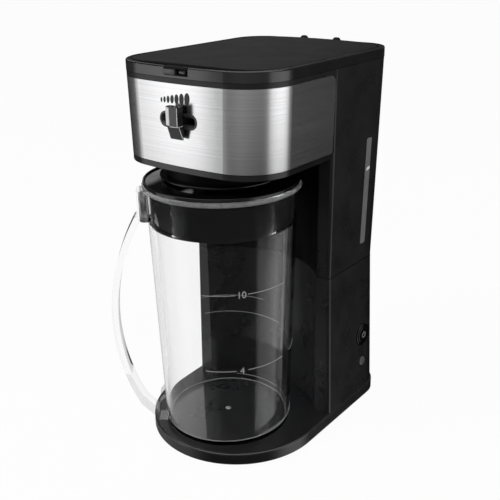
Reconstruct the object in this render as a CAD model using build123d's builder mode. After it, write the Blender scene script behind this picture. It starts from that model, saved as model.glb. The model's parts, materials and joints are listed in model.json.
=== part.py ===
"""Iced tea maker with a lidded jug, made of separate pieces. Millimetres, +Z up, the front faces -Y.

The origin lies under the middle of the base, in the plane that the rubber feet stand on. The lower
housing holds the heater, the upper housing is the water tank at the back and the brew chamber in front,
and the jug stands in the bay between them.
"""

from build123d import *
from math import cos, degrees, radians, sin, sqrt, tan
import os

os.makedirs("parts", exist_ok=True)

# ---------------------------------------------------------------- driving dimensions
wall = 2.6  # moulded housings
thin_wall = 1.6  # small moulded parts
gap = 0.3  # seat clearance between pieces
running = 0.05  # radial clearance of a pin in its bore

# base and lower housing
foot_height = 1.2
base_height = 11.2
base_half_width = 78.0
base_front = -104.4
base_back = 105.5
base_edge_round = 1.4
cover_thickness = 2.2
rear_corner = 28.0

# column, which is widest at its foot and at its top
seam_height = 144.3
seam_gap = 0.6
seam_half_width = 74.2
seam_back = 99.8
column_front = 7.8
column_edge_round = 3.0
lower_side_draft = 0.022
lower_back_draft = 0.033
upper_side_draft = 0.0113
upper_back_draft = 0.0355

# head
total_height = 330.0
head_height = 79.8
head_front = -91.1
head_front_radius = 372.0
head_front_corner = 38.4
head_side_draft = 0.026
trim_height = 4.6
frame_height = 8.3
frame_skirt = 4.0
top_band_height = 3.9
steel_thickness = 0.6
steel_corner = 8.0
steel_backing = 40.0

# water tank
tank_floor_rise = 5.5
tube_y = 86.0
tube_bore = 3.2
spigot_radius = 5.0
spigot_length = 14.0
hose_wall = 1.6
standpipe_wall = 2.2

# jug
jug_y = -41.7
jug_foot_radius = 55.6
jug_rim_wall_radius = 62.8
jug_rim_flare = 2.6
jug_headroom = 17.0
jug_rim_height = 3.6
jug_wall = 2.6
jug_floor = 4.4
jug_foot_round = 3.6
bay_radius = 79.0
spout_angle = 41.0
spout_length = 5.0
spout_droop = 6.8
spout_height = 12.4
spout_half_width = 9.0
spout_wall = 1.6
gate_mark_radius = 2.0
handle_thickness = 5.6
handle_width = 15.6
handle_bow = 21.7
handle_drop = 30.2
handle_rise = 18.5
handle_top_standoff = 7.9
handle_foot_standoff = 19.6
bracket_drop = 5.7
bracket_height = 26.5
bracket_standoff = 7.2
bracket_round = 5.0
foot_bracket_height = 26.5
foot_bracket_standoff = 5.4
bracket_side = 1.0

# jug lid
lid_flange_inset = 1.0
lid_flange_height = 2.6
lid_flange_width = 4.0
skirt_depth = 34.0
skirt_gap = 0.6
jug_lid_wall = 2.2
dish_depth = 12.6
drip_hole_radius = 3.2
drip_ring_radius = 4.6
drip_ring_height = 3.0
slot_count = 7
slot_pitch = 6.0
slot_width = 2.6

# brew basket and filter
basket_radius = 42.4
collar_drop = 9.8
collar_wall = 1.6
collar_lip = 2.6
collar_lip_height = 1.0
collar_flange = 1.2
basket_wall = 1.9
basket_ledge = 1.6
basket_headroom = 6.4
nozzle_length = 1.5
nozzle_radius = 6.2
nozzle_bore = 4.0
filter_gap = 0.8
filter_drop = 3.0
filter_taper = 5.0
filter_floor_space = 13.5
filter_wall = 1.2
window_rail = 4.0
mesh_thickness = 0.5
window_count = 8
drip_travel = 2.0
spring_wire = 0.45

# strength lever
lever_drop = 39.6
lever_thickness = 4.0
lever_pivot_y = -16.0
lever_pin_radius = 5.0
lever_rest_turn = 1.1
lever_neck = 6.0
slot_length = 32.0
slot_height = 5.2
bezel_length = 36.6
bezel_height = 12.2
bezel_proud = 0.4
bezel_dish = 2.0
bezel_overlap = 1.5
grip_half_width = 6.0
grip_back = 2.9
grip_front = 9.4
grip_step = 2.0
grip_rise = 11.8
grip_middle_drop = 2.7
grip_fall = 13.4
inlay_width = 4.8
inlay_slope = 1.9
inlay_thickness = 0.6

# spray arm
arm_rise = 7.6
arm_height = 8.5
arm_half_width = 8.0
arm_wall = 1.6
spray_radius = 24.0
spray_hole_count = 10
spray_hole_radius = 1.6

# lid and its hinge
lid_rim = 4.6
lid_gap = 0.4
lid_ledge = 2.5
lid_edge_thickness = 2.6
lid_crown = 1.6
lid_rib_inset = 9.5
lid_rib_height = 4.0
lid_rib_thickness = 1.6
hinge_x = 17.3
hinge_drop = 1.8
hinge_set_back = 2.0
hinge_rim = 4.6
lid_back_gap = 1.2
knuckle_radius = 4.5
knuckle_width = 5.2
knuckle_round = 1.4
hinge_pin_radius = 1.3
tongue_half_width = 11.6
tongue_thickness = 1.6
notch_drop = 6.6
notch_depth = 3.2

# switch and lamp on the right side
control_y = 66.9
button_height = 68.3
button_radius = 8.2
button_travel = 2.0
button_proud = 1.6
bezel_ring_width = 2.3
bezel_ring_proud = 1.2
switch_width = 20.0
switch_depth = 16.0
lamp_height = 40.1
lamp_radius = 4.5

# sight window on the right side
window_width = 8.2
window_rise = 16.6
window_overlap = 6.1
window_y = 62.8
window_lean = 4.0

# heater
shelf_height = 22.0
heater_spacing = 44.0
heater_width = 15.0
heater_height = 18.0
heater_leg = 34.0
heater_spigot = 12.0
valve_height = 26.0
valve_radius = 8.0
hose_overlap = 8.0

# screws and feet
screw_radius = 1.6
screw_head_radius = 3.2
screw_head_height = 1.0
boss_drop = 20.0
boss_rise = 10.0
bore_cover = 3.0
bore_spare = 1.0
screw_slot = 0.8
cover_screw_length = 5.4
boss_radius = 5.0
foot_radius = 7.0

# ---------------------------------------------------------------- worked-out heights and places
housing_bottom = foot_height
lower_top = seam_height - seam_gap / 2
upper_bottom = seam_height + seam_gap / 2
head_bottom = total_height - head_height
tank_floor = seam_height + tank_floor_rise
frame_bottom = total_height - frame_height
housing_top = frame_bottom - gap
steel_top = housing_top - top_band_height
steel_bottom = head_bottom + trim_height + gap
steel_end = column_front + 1.2
steel_recess = steel_thickness + 0.1
jug_bottom = base_height + gap
jug_rim_top = head_bottom - jug_headroom
jug_rim_radius = jug_rim_wall_radius + jug_rim_flare
jug_inner_radius = jug_rim_wall_radius - jug_wall
spout_reach = jug_rim_radius + spout_length
handle_top = jug_rim_top - handle_drop
handle_foot = jug_bottom + handle_rise
handle_top_reach = jug_rim_wall_radius + handle_top_standoff
handle_foot_reach = jug_foot_radius + handle_foot_standoff
bracket_top = jug_rim_top - bracket_drop
bracket_bottom = bracket_top - bracket_height
bracket_reach = jug_rim_wall_radius + bracket_standoff
bracket_width = handle_width + 2 * bracket_side
foot_bracket_top = jug_bottom + foot_bracket_height
foot_bracket_reach = jug_foot_radius + foot_bracket_standoff
lid_flange_radius = jug_rim_radius - lid_flange_inset
collar_bottom = head_bottom - collar_drop
basket_bottom = collar_bottom + collar_lip_height + gap
lever_height = total_height - lever_drop
basket_rim = lever_height - basket_headroom
filter_rim = basket_rim - filter_drop
basket_floor = basket_bottom + basket_wall
filter_bottom = basket_floor + filter_floor_space
filter_height = filter_rim - filter_bottom
grip_top = lever_height + grip_rise
grip_middle = lever_height - grip_middle_drop
grip_bottom = lever_height - grip_fall
arm_bottom = lever_height + arm_rise
hinge_height = total_height - hinge_drop
window_bottom = seam_height + window_rise
window_top = head_bottom + window_overlap
spray_centre = (0.0, jug_y)
tube_x = heater_spacing / 2
back_top = upper_back_draft * (total_height - seam_height) + seam_back
hinge_y = back_top - hinge_set_back
standpipe_top = arm_bottom + arm_wall
partition_front = column_front + 4.2
partition_top = arm_bottom - gap
collar_radius = basket_radius + gap + collar_wall
bow_centre = head_front + head_front_radius
frame_skirt_inset = steel_recess + wall + gap


def lower_half_width(level):
    return seam_half_width + lower_side_draft * (seam_height - level)


def lower_back(level):
    return seam_back + lower_back_draft * (seam_height - level)


def upper_half_width(level):
    return seam_half_width + upper_side_draft * (level - seam_height)


def upper_back(level):
    return seam_back + upper_back_draft * (level - seam_height)


def head_half_width(level):
    return upper_half_width(total_height) - head_side_draft * (total_height - level)


# ---------------------------------------------------------------- plan sections
def base_section(level, inset):
    """The base: a half-round front and a straight back with rounded corners."""
    centre_y = base_front + base_half_width
    half = base_half_width - inset
    depth = base_back - inset - centre_y
    with BuildSketch(Plane.XY.offset(level)) as section:
        with Locations((0, centre_y + depth / 2)):
            Rectangle(2 * half, depth)
        fillet(section.vertices().sort_by(Axis.Y)[-2:], rear_corner - inset)
        with Locations((0, centre_y)):
            Circle(half)
    return section.sketch


def column_section(level, half, front, back, front_round, back_round):
    """The column or the tank: a rectangle with rounded upright edges."""
    with BuildSketch(Plane.XY.offset(level)) as section:
        with Locations((0, (front + back) / 2)):
            Rectangle(2 * half, back - front)
        fillet(section.vertices().sort_by(Axis.Y)[-2:], back_round)
        fillet(section.vertices().sort_by(Axis.Y)[:2], front_round)
    return section.sketch


def lower_section(level, inset, front_round):
    return column_section(
        level,
        lower_half_width(level) - inset,
        column_front + inset,
        lower_back(level) - inset,
        front_round,
        rear_corner - inset,
    )


def upper_section(level, inset, front, front_round):
    return column_section(
        level,
        upper_half_width(level) - inset,
        front,
        upper_back(level) - inset,
        front_round,
        rear_corner - inset,
    )


def head_section(level, width_level, inset, back, back_round):
    """The head: a slightly bowed front, wide front corners and straight sides."""
    half = head_half_width(width_level) - inset
    front = head_front + inset
    bow = head_front_radius - inset
    corner = head_front_corner - inset
    corner_x = half - corner
    corner_y = bow_centre - sqrt((bow - corner) ** 2 - corner_x**2)
    along_x = corner_x / (bow - corner)
    along_y = (corner_y - bow_centre) / (bow - corner)
    end_x = along_x * bow
    end_y = bow_centre + along_y * bow
    mid_x = 1 + along_x
    mid_y = along_y
    mid_length = sqrt(mid_x**2 + mid_y**2)
    mid = (corner_x + corner * mid_x / mid_length, corner_y + corner * mid_y / mid_length)
    with BuildSketch(Plane.XY.offset(level)) as section:
        with BuildLine():
            ThreePointArc((-end_x, end_y), (0, front), (end_x, end_y))
            ThreePointArc((end_x, end_y), mid, (half, corner_y))
            Line((half, corner_y), (half, back))
            Line((half, back), (-half, back))
            Line((-half, back), (-half, corner_y))
            ThreePointArc((-half, corner_y), (-mid[0], mid[1]), (-end_x, end_y))
        make_face()
        if back_round > 0:
            fillet(section.vertices().sort_by(Axis.Y)[-2:], back_round)
    return section.sketch


def side_patch(edge_y, bottom, top, corner):
    """Side view of the steel's field: everything in front of edge_y between two heights."""
    with BuildSketch(Plane.YZ) as patch:
        with Locations((edge_y - 2 * bay_radius, (bottom + top) / 2)):
            Rectangle(4 * bay_radius, top - bottom)
        fillet(patch.vertices().group_by(Axis.Y)[-1].sort_by(Axis.X)[-1:], corner)
    return patch.sketch


def stadium(width, height, depth_y=0.0):
    """A long hole lying across the front, seen from the front."""
    with BuildSketch(Plane.XZ.offset(-depth_y)) as shape:
        with Locations((0, lever_height)):
            SlotOverall(width, height)
    return shape.sketch


cover_screw_places = [(-52.0, -52.0), (52.0, -52.0), (-70.4, 50.0), (70.4, 50.0)]
foot_places = [(-44.0, -72.0), (44.0, -72.0), (-56.0, 84.0), (56.0, 84.0)]
front_boss = (seam_half_width - wall - 4.0, column_front + wall + 5.6)
back_boss = (seam_half_width - 12.2, seam_back - 12.8)
housing_screw_places = [
    (-front_boss[0], front_boss[1]),
    front_boss,
    (-back_boss[0], back_boss[1]),
    back_boss,
]
boss_bottom = seam_height - boss_drop
boss_top = tank_floor + boss_rise
bore_end = boss_top - bore_cover
tube_places = [(-tube_x, tube_y), (tube_x, tube_y)]

# ---------------------------------------------------------------- lower housing: base pan and column
deck_underside = base_height - wall
switch_face = lower_half_width(button_height)
switch_seat = switch_face - 0.4
bezel_bore = button_radius + gap
barrel_radius = bezel_bore + 1.2
ring_radius = bezel_bore + bezel_ring_width
lamp_face = lower_half_width(lamp_height)
gland_height = shelf_height + 8.0
gland_radius = 5.0
gland_x = -46.0

with BuildPart() as lower_space:
    loft(
        sections=[
            lower_section(housing_bottom - 1, wall, 1.0),
            lower_section(lower_top + 1, wall, 1.0),
        ],
        ruled=True,
    )
    with Locations((0, jug_y, deck_underside)):
        Cylinder(
            bay_radius + wall,
            lower_top,
            align=(Align.CENTER, Align.CENTER, Align.MIN),
            mode=Mode.SUBTRACT,
        )
    extrude(base_section(housing_bottom - 1, wall), amount=deck_underside - housing_bottom + 1)

with BuildPart() as base_housing:
    extrude(base_section(housing_bottom, 0), amount=base_height - housing_bottom)
    fillet(base_housing.faces().sort_by(Axis.Z)[-1].edges(), base_edge_round)
    loft(
        sections=[
            lower_section(housing_bottom + wall, 0, column_edge_round),
            lower_section(lower_top, 0, column_edge_round),
        ],
        ruled=True,
    )
    with Locations((0, jug_y, base_height)):
        Cylinder(
            bay_radius,
            lower_top,
            align=(Align.CENTER, Align.CENTER, Align.MIN),
            mode=Mode.SUBTRACT,
        )
    add(lower_space.part, mode=Mode.SUBTRACT)
    # bosses for the cover's screws hang from the deck or stand against the side walls
    with BuildSketch(Plane.XY.offset(housing_bottom + cover_thickness)):
        with Locations(*cover_screw_places[:2]):
            Circle(boss_radius)
    extrude(amount=deck_underside - housing_bottom - cover_thickness + 0.5)
    with BuildSketch(Plane.XY.offset(housing_bottom + cover_thickness)):
        with Locations(*cover_screw_places[2:]):
            Circle(boss_radius)
    extrude(amount=14)
    with BuildSketch(Plane.XY.offset(housing_bottom)):
        with Locations(*cover_screw_places):
            Circle(screw_radius)
    extrude(amount=7.0, mode=Mode.SUBTRACT)
    # bosses that the upper housing is screwed to
    with BuildSketch(Plane.XY.offset(boss_bottom)):
        with Locations(*housing_screw_places):
            Circle(boss_radius)
    extrude(amount=seam_height - boss_bottom)
    with BuildSketch(Plane.XY.offset(boss_bottom)):
        with Locations(*housing_screw_places):
            Circle(screw_radius + gap)
    extrude(amount=seam_height - boss_bottom, mode=Mode.SUBTRACT)
    # holes for the switch, the lamp and the cord
    with BuildSketch(Plane.YZ.offset(lower_half_width(base_height) - 8)):
        with Locations((control_y, button_height)):
            Circle(barrel_radius + 0.1)
        with Locations((control_y, lamp_height)):
            Circle(lamp_radius + 0.1)
    extrude(amount=12, mode=Mode.SUBTRACT)
    with BuildSketch(Plane.YZ.offset(switch_seat)):
        with Locations((control_y, button_height)):
            Circle(ring_radius + 0.2)
    extrude(amount=4, mode=Mode.SUBTRACT)
    with BuildSketch(Plane.XZ.offset(-lower_back(base_height) - 2)):
        with Locations((gland_x, gland_height)):
            Circle(gland_radius + 0.1)
    extrude(amount=12, mode=Mode.SUBTRACT)
base_housing.part.label = "base_housing"
export_step(base_housing.part, "parts/base_housing.step")

# ---------------------------------------------------------------- bottom cover, feet and screws
heater_post = 5.0
cover_top = housing_bottom + cover_thickness
heater_front = tube_y - heater_leg
post_places = [(-tube_x, tube_y - 8), (tube_x, tube_y - 8), (0, heater_front)]

with BuildPart() as bottom_cover:
    extrude(base_section(housing_bottom, wall + gap), amount=cover_thickness)
    with BuildSketch(Plane.XY.offset(cover_top)):
        with Locations(*post_places):
            Circle(heater_post)
    extrude(amount=shelf_height - cover_top)
    with BuildSketch(Plane.XY.offset(housing_bottom)):
        with Locations(*cover_screw_places):
            Circle(screw_radius + 0.2)
        with Locations(*foot_places):
            Circle(foot_radius / 3)
    extrude(amount=cover_thickness, mode=Mode.SUBTRACT)
    with BuildSketch(Plane.XY.offset(housing_bottom)):
        with Locations(*cover_screw_places):
            Circle(screw_head_radius + gap)
    extrude(amount=screw_head_height, mode=Mode.SUBTRACT)
bottom_cover.part.label = "bottom_cover"
export_step(bottom_cover.part, "parts/bottom_cover.step")

with BuildPart() as rubber_feet:
    with BuildSketch(Plane.XY):
        with Locations(*foot_places):
            Circle(foot_radius)
    extrude(amount=foot_height)
    chamfer(rubber_feet.faces().sort_by(Axis.Z)[0:4].edges(), 0.4)
    with BuildSketch(Plane.XY.offset(foot_height)):
        with Locations(*foot_places):
            Circle(foot_radius / 3)
    extrude(amount=cover_thickness)
rubber_feet.part.label = "rubber_feet"
export_step(rubber_feet.part, "parts/rubber_feet.step")

with BuildPart() as cover_screws:
    with BuildSketch(Plane.XY.offset(housing_bottom)):
        with Locations(*cover_screw_places):
            Circle(screw_head_radius)
            Rectangle(screw_head_radius + gap, screw_slot, mode=Mode.SUBTRACT)
            Rectangle(screw_slot, screw_head_radius + gap, mode=Mode.SUBTRACT)
    extrude(amount=screw_head_height / 2)
    with BuildSketch(Plane.XY.offset(housing_bottom + screw_head_height / 2)):
        with Locations(*cover_screw_places):
            Circle(screw_head_radius)
    extrude(amount=screw_head_height / 2)
    with BuildSketch(Plane.XY.offset(housing_bottom + screw_head_height)):
        with Locations(*cover_screw_places):
            Circle(screw_radius)
    extrude(amount=cover_screw_length)
cover_screws.part.label = "cover_screws"
export_step(cover_screws.part, "parts/cover_screws.step")

with BuildPart() as housing_screws:
    with BuildSketch(Plane.XY.offset(boss_bottom - 2 * screw_head_height)):
        with Locations(*housing_screw_places):
            Circle(screw_head_radius)
    extrude(amount=2 * screw_head_height)
    with BuildSketch(Plane.XY.offset(boss_bottom)):
        with Locations(*housing_screw_places):
            Circle(screw_radius)
    extrude(amount=bore_end - bore_spare - boss_bottom)
housing_screws.part.label = "housing_screws"
export_step(housing_screws.part, "parts/housing_screws.step")

# ---------------------------------------------------------------- heater, its thermostat and the hoses
heater_middle = shelf_height + heater_height / 2
heater_top = shelf_height + heater_height
valve_bottom = heater_top + 0.4
valve_top = valve_bottom + valve_height
floor_underside = tank_floor - wall
spigot_bottom = floor_underside - spigot_length

with BuildPart() as heater_block:
    with BuildSketch(Plane.XY.offset(shelf_height)):
        with BuildLine():
            Polyline((-tube_x, tube_y + 5), (-tube_x, heater_front), (tube_x, heater_front), (tube_x, tube_y + 5))
            offset(amount=heater_width / 2, kind=Kind.ARC)
        make_face()
    extrude(amount=heater_height)
    chamfer(heater_block.faces().sort_by(Axis.Z)[-1].edges(), 1.0)
    with BuildSketch(Plane.XY.offset(heater_top - 1)):
        with Locations(*tube_places):
            Circle(spigot_radius)
    extrude(amount=heater_spigot + 1)
    with BuildSketch(Plane.XY.offset(heater_middle)):
        with Locations(*tube_places):
            Circle(tube_bore)
    extrude(amount=heater_height, mode=Mode.SUBTRACT)
    with BuildSketch(Plane.XY.offset(heater_middle - tube_bore)):
        with BuildLine():
            Polyline((-tube_x, tube_y), (-tube_x, heater_front), (tube_x, heater_front), (tube_x, tube_y))
            offset(amount=tube_bore, kind=Kind.ARC)
        make_face()
    extrude(amount=2 * tube_bore, mode=Mode.SUBTRACT)
heater_block.part.label = "heater_block"
export_step(heater_block.part, "parts/heater_block.step")

with BuildPart() as thermostat:
    with BuildSketch(Plane.XY.offset(heater_top)):
        with Locations((0, heater_front)):
            Circle(7.2)
    extrude(amount=5)
    with BuildSketch(Plane.XY.offset(heater_top + 5)):
        with Locations((-3.5, heater_front), (3.5, heater_front)):
            Rectangle(0.8, 5)
    extrude(amount=7)
thermostat.part.label = "thermostat"
export_step(thermostat.part, "parts/thermostat.step")

with BuildPart() as check_valve:
    with BuildSketch(Plane.XY.offset(valve_bottom)):
        with Locations(tube_places[0]):
            Circle(valve_radius)
    extrude(amount=valve_height)
    chamfer(check_valve.edges().filter_by(GeomType.CIRCLE), 1.4)
    with BuildSketch(Plane.XY.offset(valve_top)):
        with Locations(tube_places[0]):
            Circle(spigot_radius)
    extrude(amount=hose_overlap)
    with BuildSketch(Plane.XY.offset(valve_bottom)):
        with Locations(tube_places[0]):
            Circle(spigot_radius)
    extrude(amount=heater_spigot, mode=Mode.SUBTRACT)
    with BuildSketch(Plane.XY.offset(valve_bottom)):
        with Locations(tube_places[0]):
            Circle(tube_bore)
    extrude(amount=valve_height + hose_overlap, mode=Mode.SUBTRACT)
check_valve.part.label = "check_valve"
export_step(check_valve.part, "parts/check_valve.step")


def hose(place, bottom, top, label):
    """A straight length of hose pushed over a spigot at each end."""
    with BuildPart() as piece:
        with BuildSketch(Plane.XY.offset(bottom)):
            with Locations(place):
                Circle(spigot_radius + hose_wall)
                Circle(spigot_radius, mode=Mode.SUBTRACT)
        extrude(amount=top - bottom)
    piece.part.label = label
    export_step(piece.part, "parts/" + label + ".step")


hose(tube_places[0], valve_top + 0.2, floor_underside, "inlet_hose")
hose(tube_places[1], heater_top, floor_underside, "riser_hose")

# ---------------------------------------------------------------- upper housing: tank behind, brew chamber in front
head_floor_top = head_bottom + trim_height
tank_step = steel_bottom + wall
core_back = partition_front + wall
bezel_body_length = bezel_length - 2 * bezel_overlap
bezel_body_height = bezel_height - 2 * bezel_overlap

with BuildPart() as tank_space:
    loft(
        sections=[
            upper_section(tank_floor, wall, column_front + wall, 1.0),
            upper_section(housing_top + 1, wall, column_front + wall, 1.0),
        ],
        ruled=True,
    )
    with Locations((0, jug_y, 0)):
        Cylinder(
            bay_radius + wall,
            tank_step,
            align=(Align.CENTER, Align.CENTER, Align.MIN),
            mode=Mode.SUBTRACT,
        )
    with Locations((0, core_back, tank_step)):
        Box(
            5 * bay_radius,
            5 * bay_radius,
            total_height,
            align=(Align.CENTER, Align.MAX, Align.MIN),
            mode=Mode.SUBTRACT,
        )

with BuildPart() as brew_space:
    loft(
        sections=[
            head_section(steel_bottom - 1, steel_bottom, steel_recess + wall, partition_front, 0),
            head_section(steel_top - 2, steel_top, steel_recess + wall, partition_front, 0),
        ],
        ruled=True,
    )
    extrude(
        head_section(steel_top - 2, steel_top, steel_recess + wall, partition_front, 0),
        amount=housing_top + 1 - steel_top + 2,
    )

with BuildPart() as head_core:
    loft(
        sections=[
            head_section(steel_bottom - 2, steel_bottom, steel_recess, column_front + steel_backing, 0),
            head_section(steel_top + 2, steel_top, steel_recess, column_front + steel_backing, 0),
        ],
        ruled=True,
    )

with BuildPart() as steel_room:
    extrude(side_patch(steel_end + gap, steel_bottom, steel_top + gap, steel_corner), amount=100, both=True)
    add(head_core.part, mode=Mode.SUBTRACT)

window_lean_angle = degrees(window_lean / (window_top - window_bottom))
window_level = (window_top + window_bottom) / 2
window_plane = Plane(
    origin=(upper_half_width(window_level), window_y + window_lean / 2, window_level),
    x_dir=(0, 1, 0),
    z_dir=(1, 0, -upper_side_draft),
)


def window_outline(width, height, depth=0.0):
    with BuildSketch(window_plane.offset(-depth)) as outline:
        with Locations(Rotation(0, 0, -window_lean_angle)):
            RectangleRounded(width, height, 1.6)
    return outline.sketch


with BuildPart() as upper_housing:
    loft(
        sections=[
            upper_section(upper_bottom, 0, column_front, column_edge_round),
            upper_section(housing_top, 0, column_front, column_edge_round),
        ],
        ruled=True,
    )
    loft(
        sections=[
            head_section(steel_bottom, steel_bottom, 0, column_front + 20, 0),
            head_section(housing_top, housing_top, 0, column_front + 20, 0),
        ],
        ruled=True,
    )
    with Locations((0, jug_y, 0)):
        Cylinder(
            bay_radius,
            steel_bottom,
            align=(Align.CENTER, Align.CENTER, Align.MIN),
            mode=Mode.SUBTRACT,
        )
    add(steel_room.part, mode=Mode.SUBTRACT)
    add(tank_space.part, mode=Mode.SUBTRACT)
    add(brew_space.part, mode=Mode.SUBTRACT)
    # the space under the tank's floor
    with BuildSketch(Plane.XY.offset(upper_bottom)) as under:
        add(upper_section(upper_bottom, wall, column_front + wall, 1.0))
        with Locations((0, jug_y)):
            Circle(bay_radius + wall, mode=Mode.SUBTRACT)
    extrude(amount=floor_underside - upper_bottom, mode=Mode.SUBTRACT)
    # the partition is lower than the rim where the spray arm crosses it
    with Locations((0, partition_front - 1, partition_top)):
        Box(
            2 * (upper_half_width(steel_bottom) - steel_recess - 2 * wall),
            wall + 2,
            housing_top,
            align=(Align.CENTER, Align.MIN, Align.MIN),
            mode=Mode.SUBTRACT,
        )
    # room for the top frame's skirt
    extrude(
        head_section(
            frame_bottom - frame_skirt - gap,
            total_height,
            frame_skirt_inset - gap,
            back_top - frame_skirt_inset + gap,
            rear_corner - frame_skirt_inset + gap,
        ),
        amount=20,
        mode=Mode.SUBTRACT,
    )
    # bosses for the screws that join the housings
    with BuildSketch(Plane.XY.offset(seam_height)):
        with Locations(*housing_screw_places):
            Circle(boss_radius)
    extrude(amount=boss_top - seam_height)
    with BuildSketch(Plane.XY.offset(seam_height)):
        with Locations(*housing_screw_places):
            Circle(screw_radius)
    extrude(amount=bore_end - seam_height, mode=Mode.SUBTRACT)
    # spigots under the tank for the two hoses
    with BuildSketch(Plane.XY.offset(spigot_bottom)):
        with Locations(*tube_places):
            Circle(spigot_radius)
    extrude(amount=floor_underside - spigot_bottom + 0.5)
    with BuildSketch(Plane.XY.offset(tank_floor)):
        with Locations(tube_places[1]):
            Circle(spigot_radius + 3)
    extrude(amount=8)
    with BuildSketch(Plane.XY.offset(tank_floor)):
        with Locations(tube_places[1]):
            Circle(tube_bore + standpipe_wall)
    extrude(amount=8, mode=Mode.SUBTRACT)
    with BuildSketch(Plane.XY.offset(spigot_bottom)):
        with Locations(*tube_places):
            Circle(tube_bore)
    extrude(amount=tank_floor - spigot_bottom, mode=Mode.SUBTRACT)
    # the window in the right wall and the oval opening in the front
    extrude(window_outline(window_width + 0.2, window_top - window_bottom + 0.2), amount=wall + 3, both=True, mode=Mode.SUBTRACT)
    extrude(stadium(bezel_body_length + 0.2, bezel_body_height + 0.2), amount=-head_front + 10, mode=Mode.SUBTRACT)
upper_housing.part.label = "upper_housing"
export_step(upper_housing.part, "parts/upper_housing.step")

with BuildPart() as sight_window:
    extrude(window_outline(window_width, window_top - window_bottom), amount=-wall - thin_wall)
    extrude(
        window_outline(window_width + 5, window_top - window_bottom + 5, wall + 0.1),
        amount=-thin_wall + 0.1,
    )
sight_window.part.label = "sight_window"
export_step(sight_window.part, "parts/sight_window.step")

with BuildPart() as standpipe:
    with BuildSketch(Plane.XY.offset(tank_floor)):
        with Locations(tube_places[1]):
            Circle(tube_bore + standpipe_wall)
            Circle(tube_bore, mode=Mode.SUBTRACT)
    extrude(amount=standpipe_top - tank_floor)
standpipe.part.label = "standpipe"
export_step(standpipe.part, "parts/standpipe.step")

# ---------------------------------------------------------------- floor of the head, and the collar round the basket
collar_inner = basket_radius + gap

with BuildPart() as head_floor:
    with BuildSketch(Plane.XY.offset(head_bottom)):
        with Locations(spray_centre):
            Circle(bay_radius - gap)
        with Locations((0, column_front - gap)):
            Rectangle(5 * bay_radius, 5 * bay_radius, align=(Align.CENTER, Align.MAX), mode=Mode.SUBTRACT)
        add(head_section(head_bottom, head_bottom, 0, column_front - gap, 0))
        with Locations(spray_centre):
            Circle(collar_radius, mode=Mode.SUBTRACT)
    extrude(amount=trim_height)
head_floor.part.label = "head_floor"
export_step(head_floor.part, "parts/head_floor.step")

with BuildPart() as basket_collar:
    with BuildSketch(Plane.XY.offset(collar_bottom)):
        with Locations(spray_centre):
            Circle(collar_radius)
            Circle(collar_inner - collar_lip, mode=Mode.SUBTRACT)
    extrude(amount=collar_lip_height)
    with BuildSketch(Plane.XY.offset(collar_bottom + collar_lip_height)):
        with Locations(spray_centre):
            Circle(collar_radius)
            Circle(collar_inner, mode=Mode.SUBTRACT)
    extrude(amount=head_floor_top - collar_bottom - collar_lip_height)
    with BuildSketch(Plane.XY.offset(head_floor_top)):
        with Locations(spray_centre):
            Circle(collar_radius + collar_flange)
            Circle(collar_inner, mode=Mode.SUBTRACT)
    extrude(amount=thin_wall)
basket_collar.part.label = "basket_collar"
export_step(basket_collar.part, "parts/basket_collar.step")

# ---------------------------------------------------------------- steel front
with BuildPart() as steel_inside:
    loft(
        sections=[
            head_section(steel_bottom - 2, steel_bottom, steel_thickness, column_front + steel_backing, 0),
            head_section(steel_top + 2, steel_top, steel_thickness, column_front + steel_backing, 0),
        ],
        ruled=True,
    )

with BuildPart() as steel_band:
    loft(
        sections=[
            head_section(steel_bottom, steel_bottom, 0, column_front + 20, 0),
            head_section(steel_top, steel_top, 0, column_front + 20, 0),
        ],
        ruled=True,
    )
    add(steel_inside.part, mode=Mode.SUBTRACT)
    extrude(
        side_patch(steel_end, steel_bottom, steel_top, steel_corner),
        amount=100,
        both=True,
        mode=Mode.INTERSECT,
    )
    extrude(
        stadium(bezel_body_length + 0.2, bezel_body_height + 0.2),
        amount=-head_front + 10,
        mode=Mode.SUBTRACT,
    )
steel_band.part.label = "steel_band"
export_step(steel_band.part, "parts/steel_band.step")

# ---------------------------------------------------------------- strength lever and its oval bezel
bezel_back = head_front + steel_recess + wall + 0.8
bezel_reach = bezel_back - head_front + 2 * bezel_proud + 3
lip = 0.8

with BuildPart() as bezel_body:
    extrude(stadium(bezel_body_length, bezel_body_height, bezel_back), amount=bezel_reach)
    with Locations((0, bow_centre, lever_height)):
        Cylinder(head_front_radius + bezel_proud, 5 * bezel_height, mode=Mode.INTERSECT)

with BuildPart() as lever_bezel:
    extrude(stadium(bezel_length, bezel_height, bezel_back), amount=bezel_reach)
    with Locations((0, bow_centre, lever_height)):
        Cylinder(head_front_radius + bezel_proud, 5 * bezel_height, mode=Mode.INTERSECT)
        Cylinder(head_front_radius, 5 * bezel_height, mode=Mode.SUBTRACT)
    add(bezel_body.part)
    extrude(stadium(slot_length, slot_height, bezel_back), amount=bezel_reach, mode=Mode.SUBTRACT)
    loft(
        sections=[
            stadium(slot_length, slot_height, head_front + bezel_dish),
            stadium(bezel_length - 2 * lip, bezel_height - 2 * lip, head_front - 1),
        ],
        mode=Mode.SUBTRACT,
    )
lever_bezel.part.label = "lever_bezel"
export_step(lever_bezel.part, "parts/lever_bezel.step")

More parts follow.
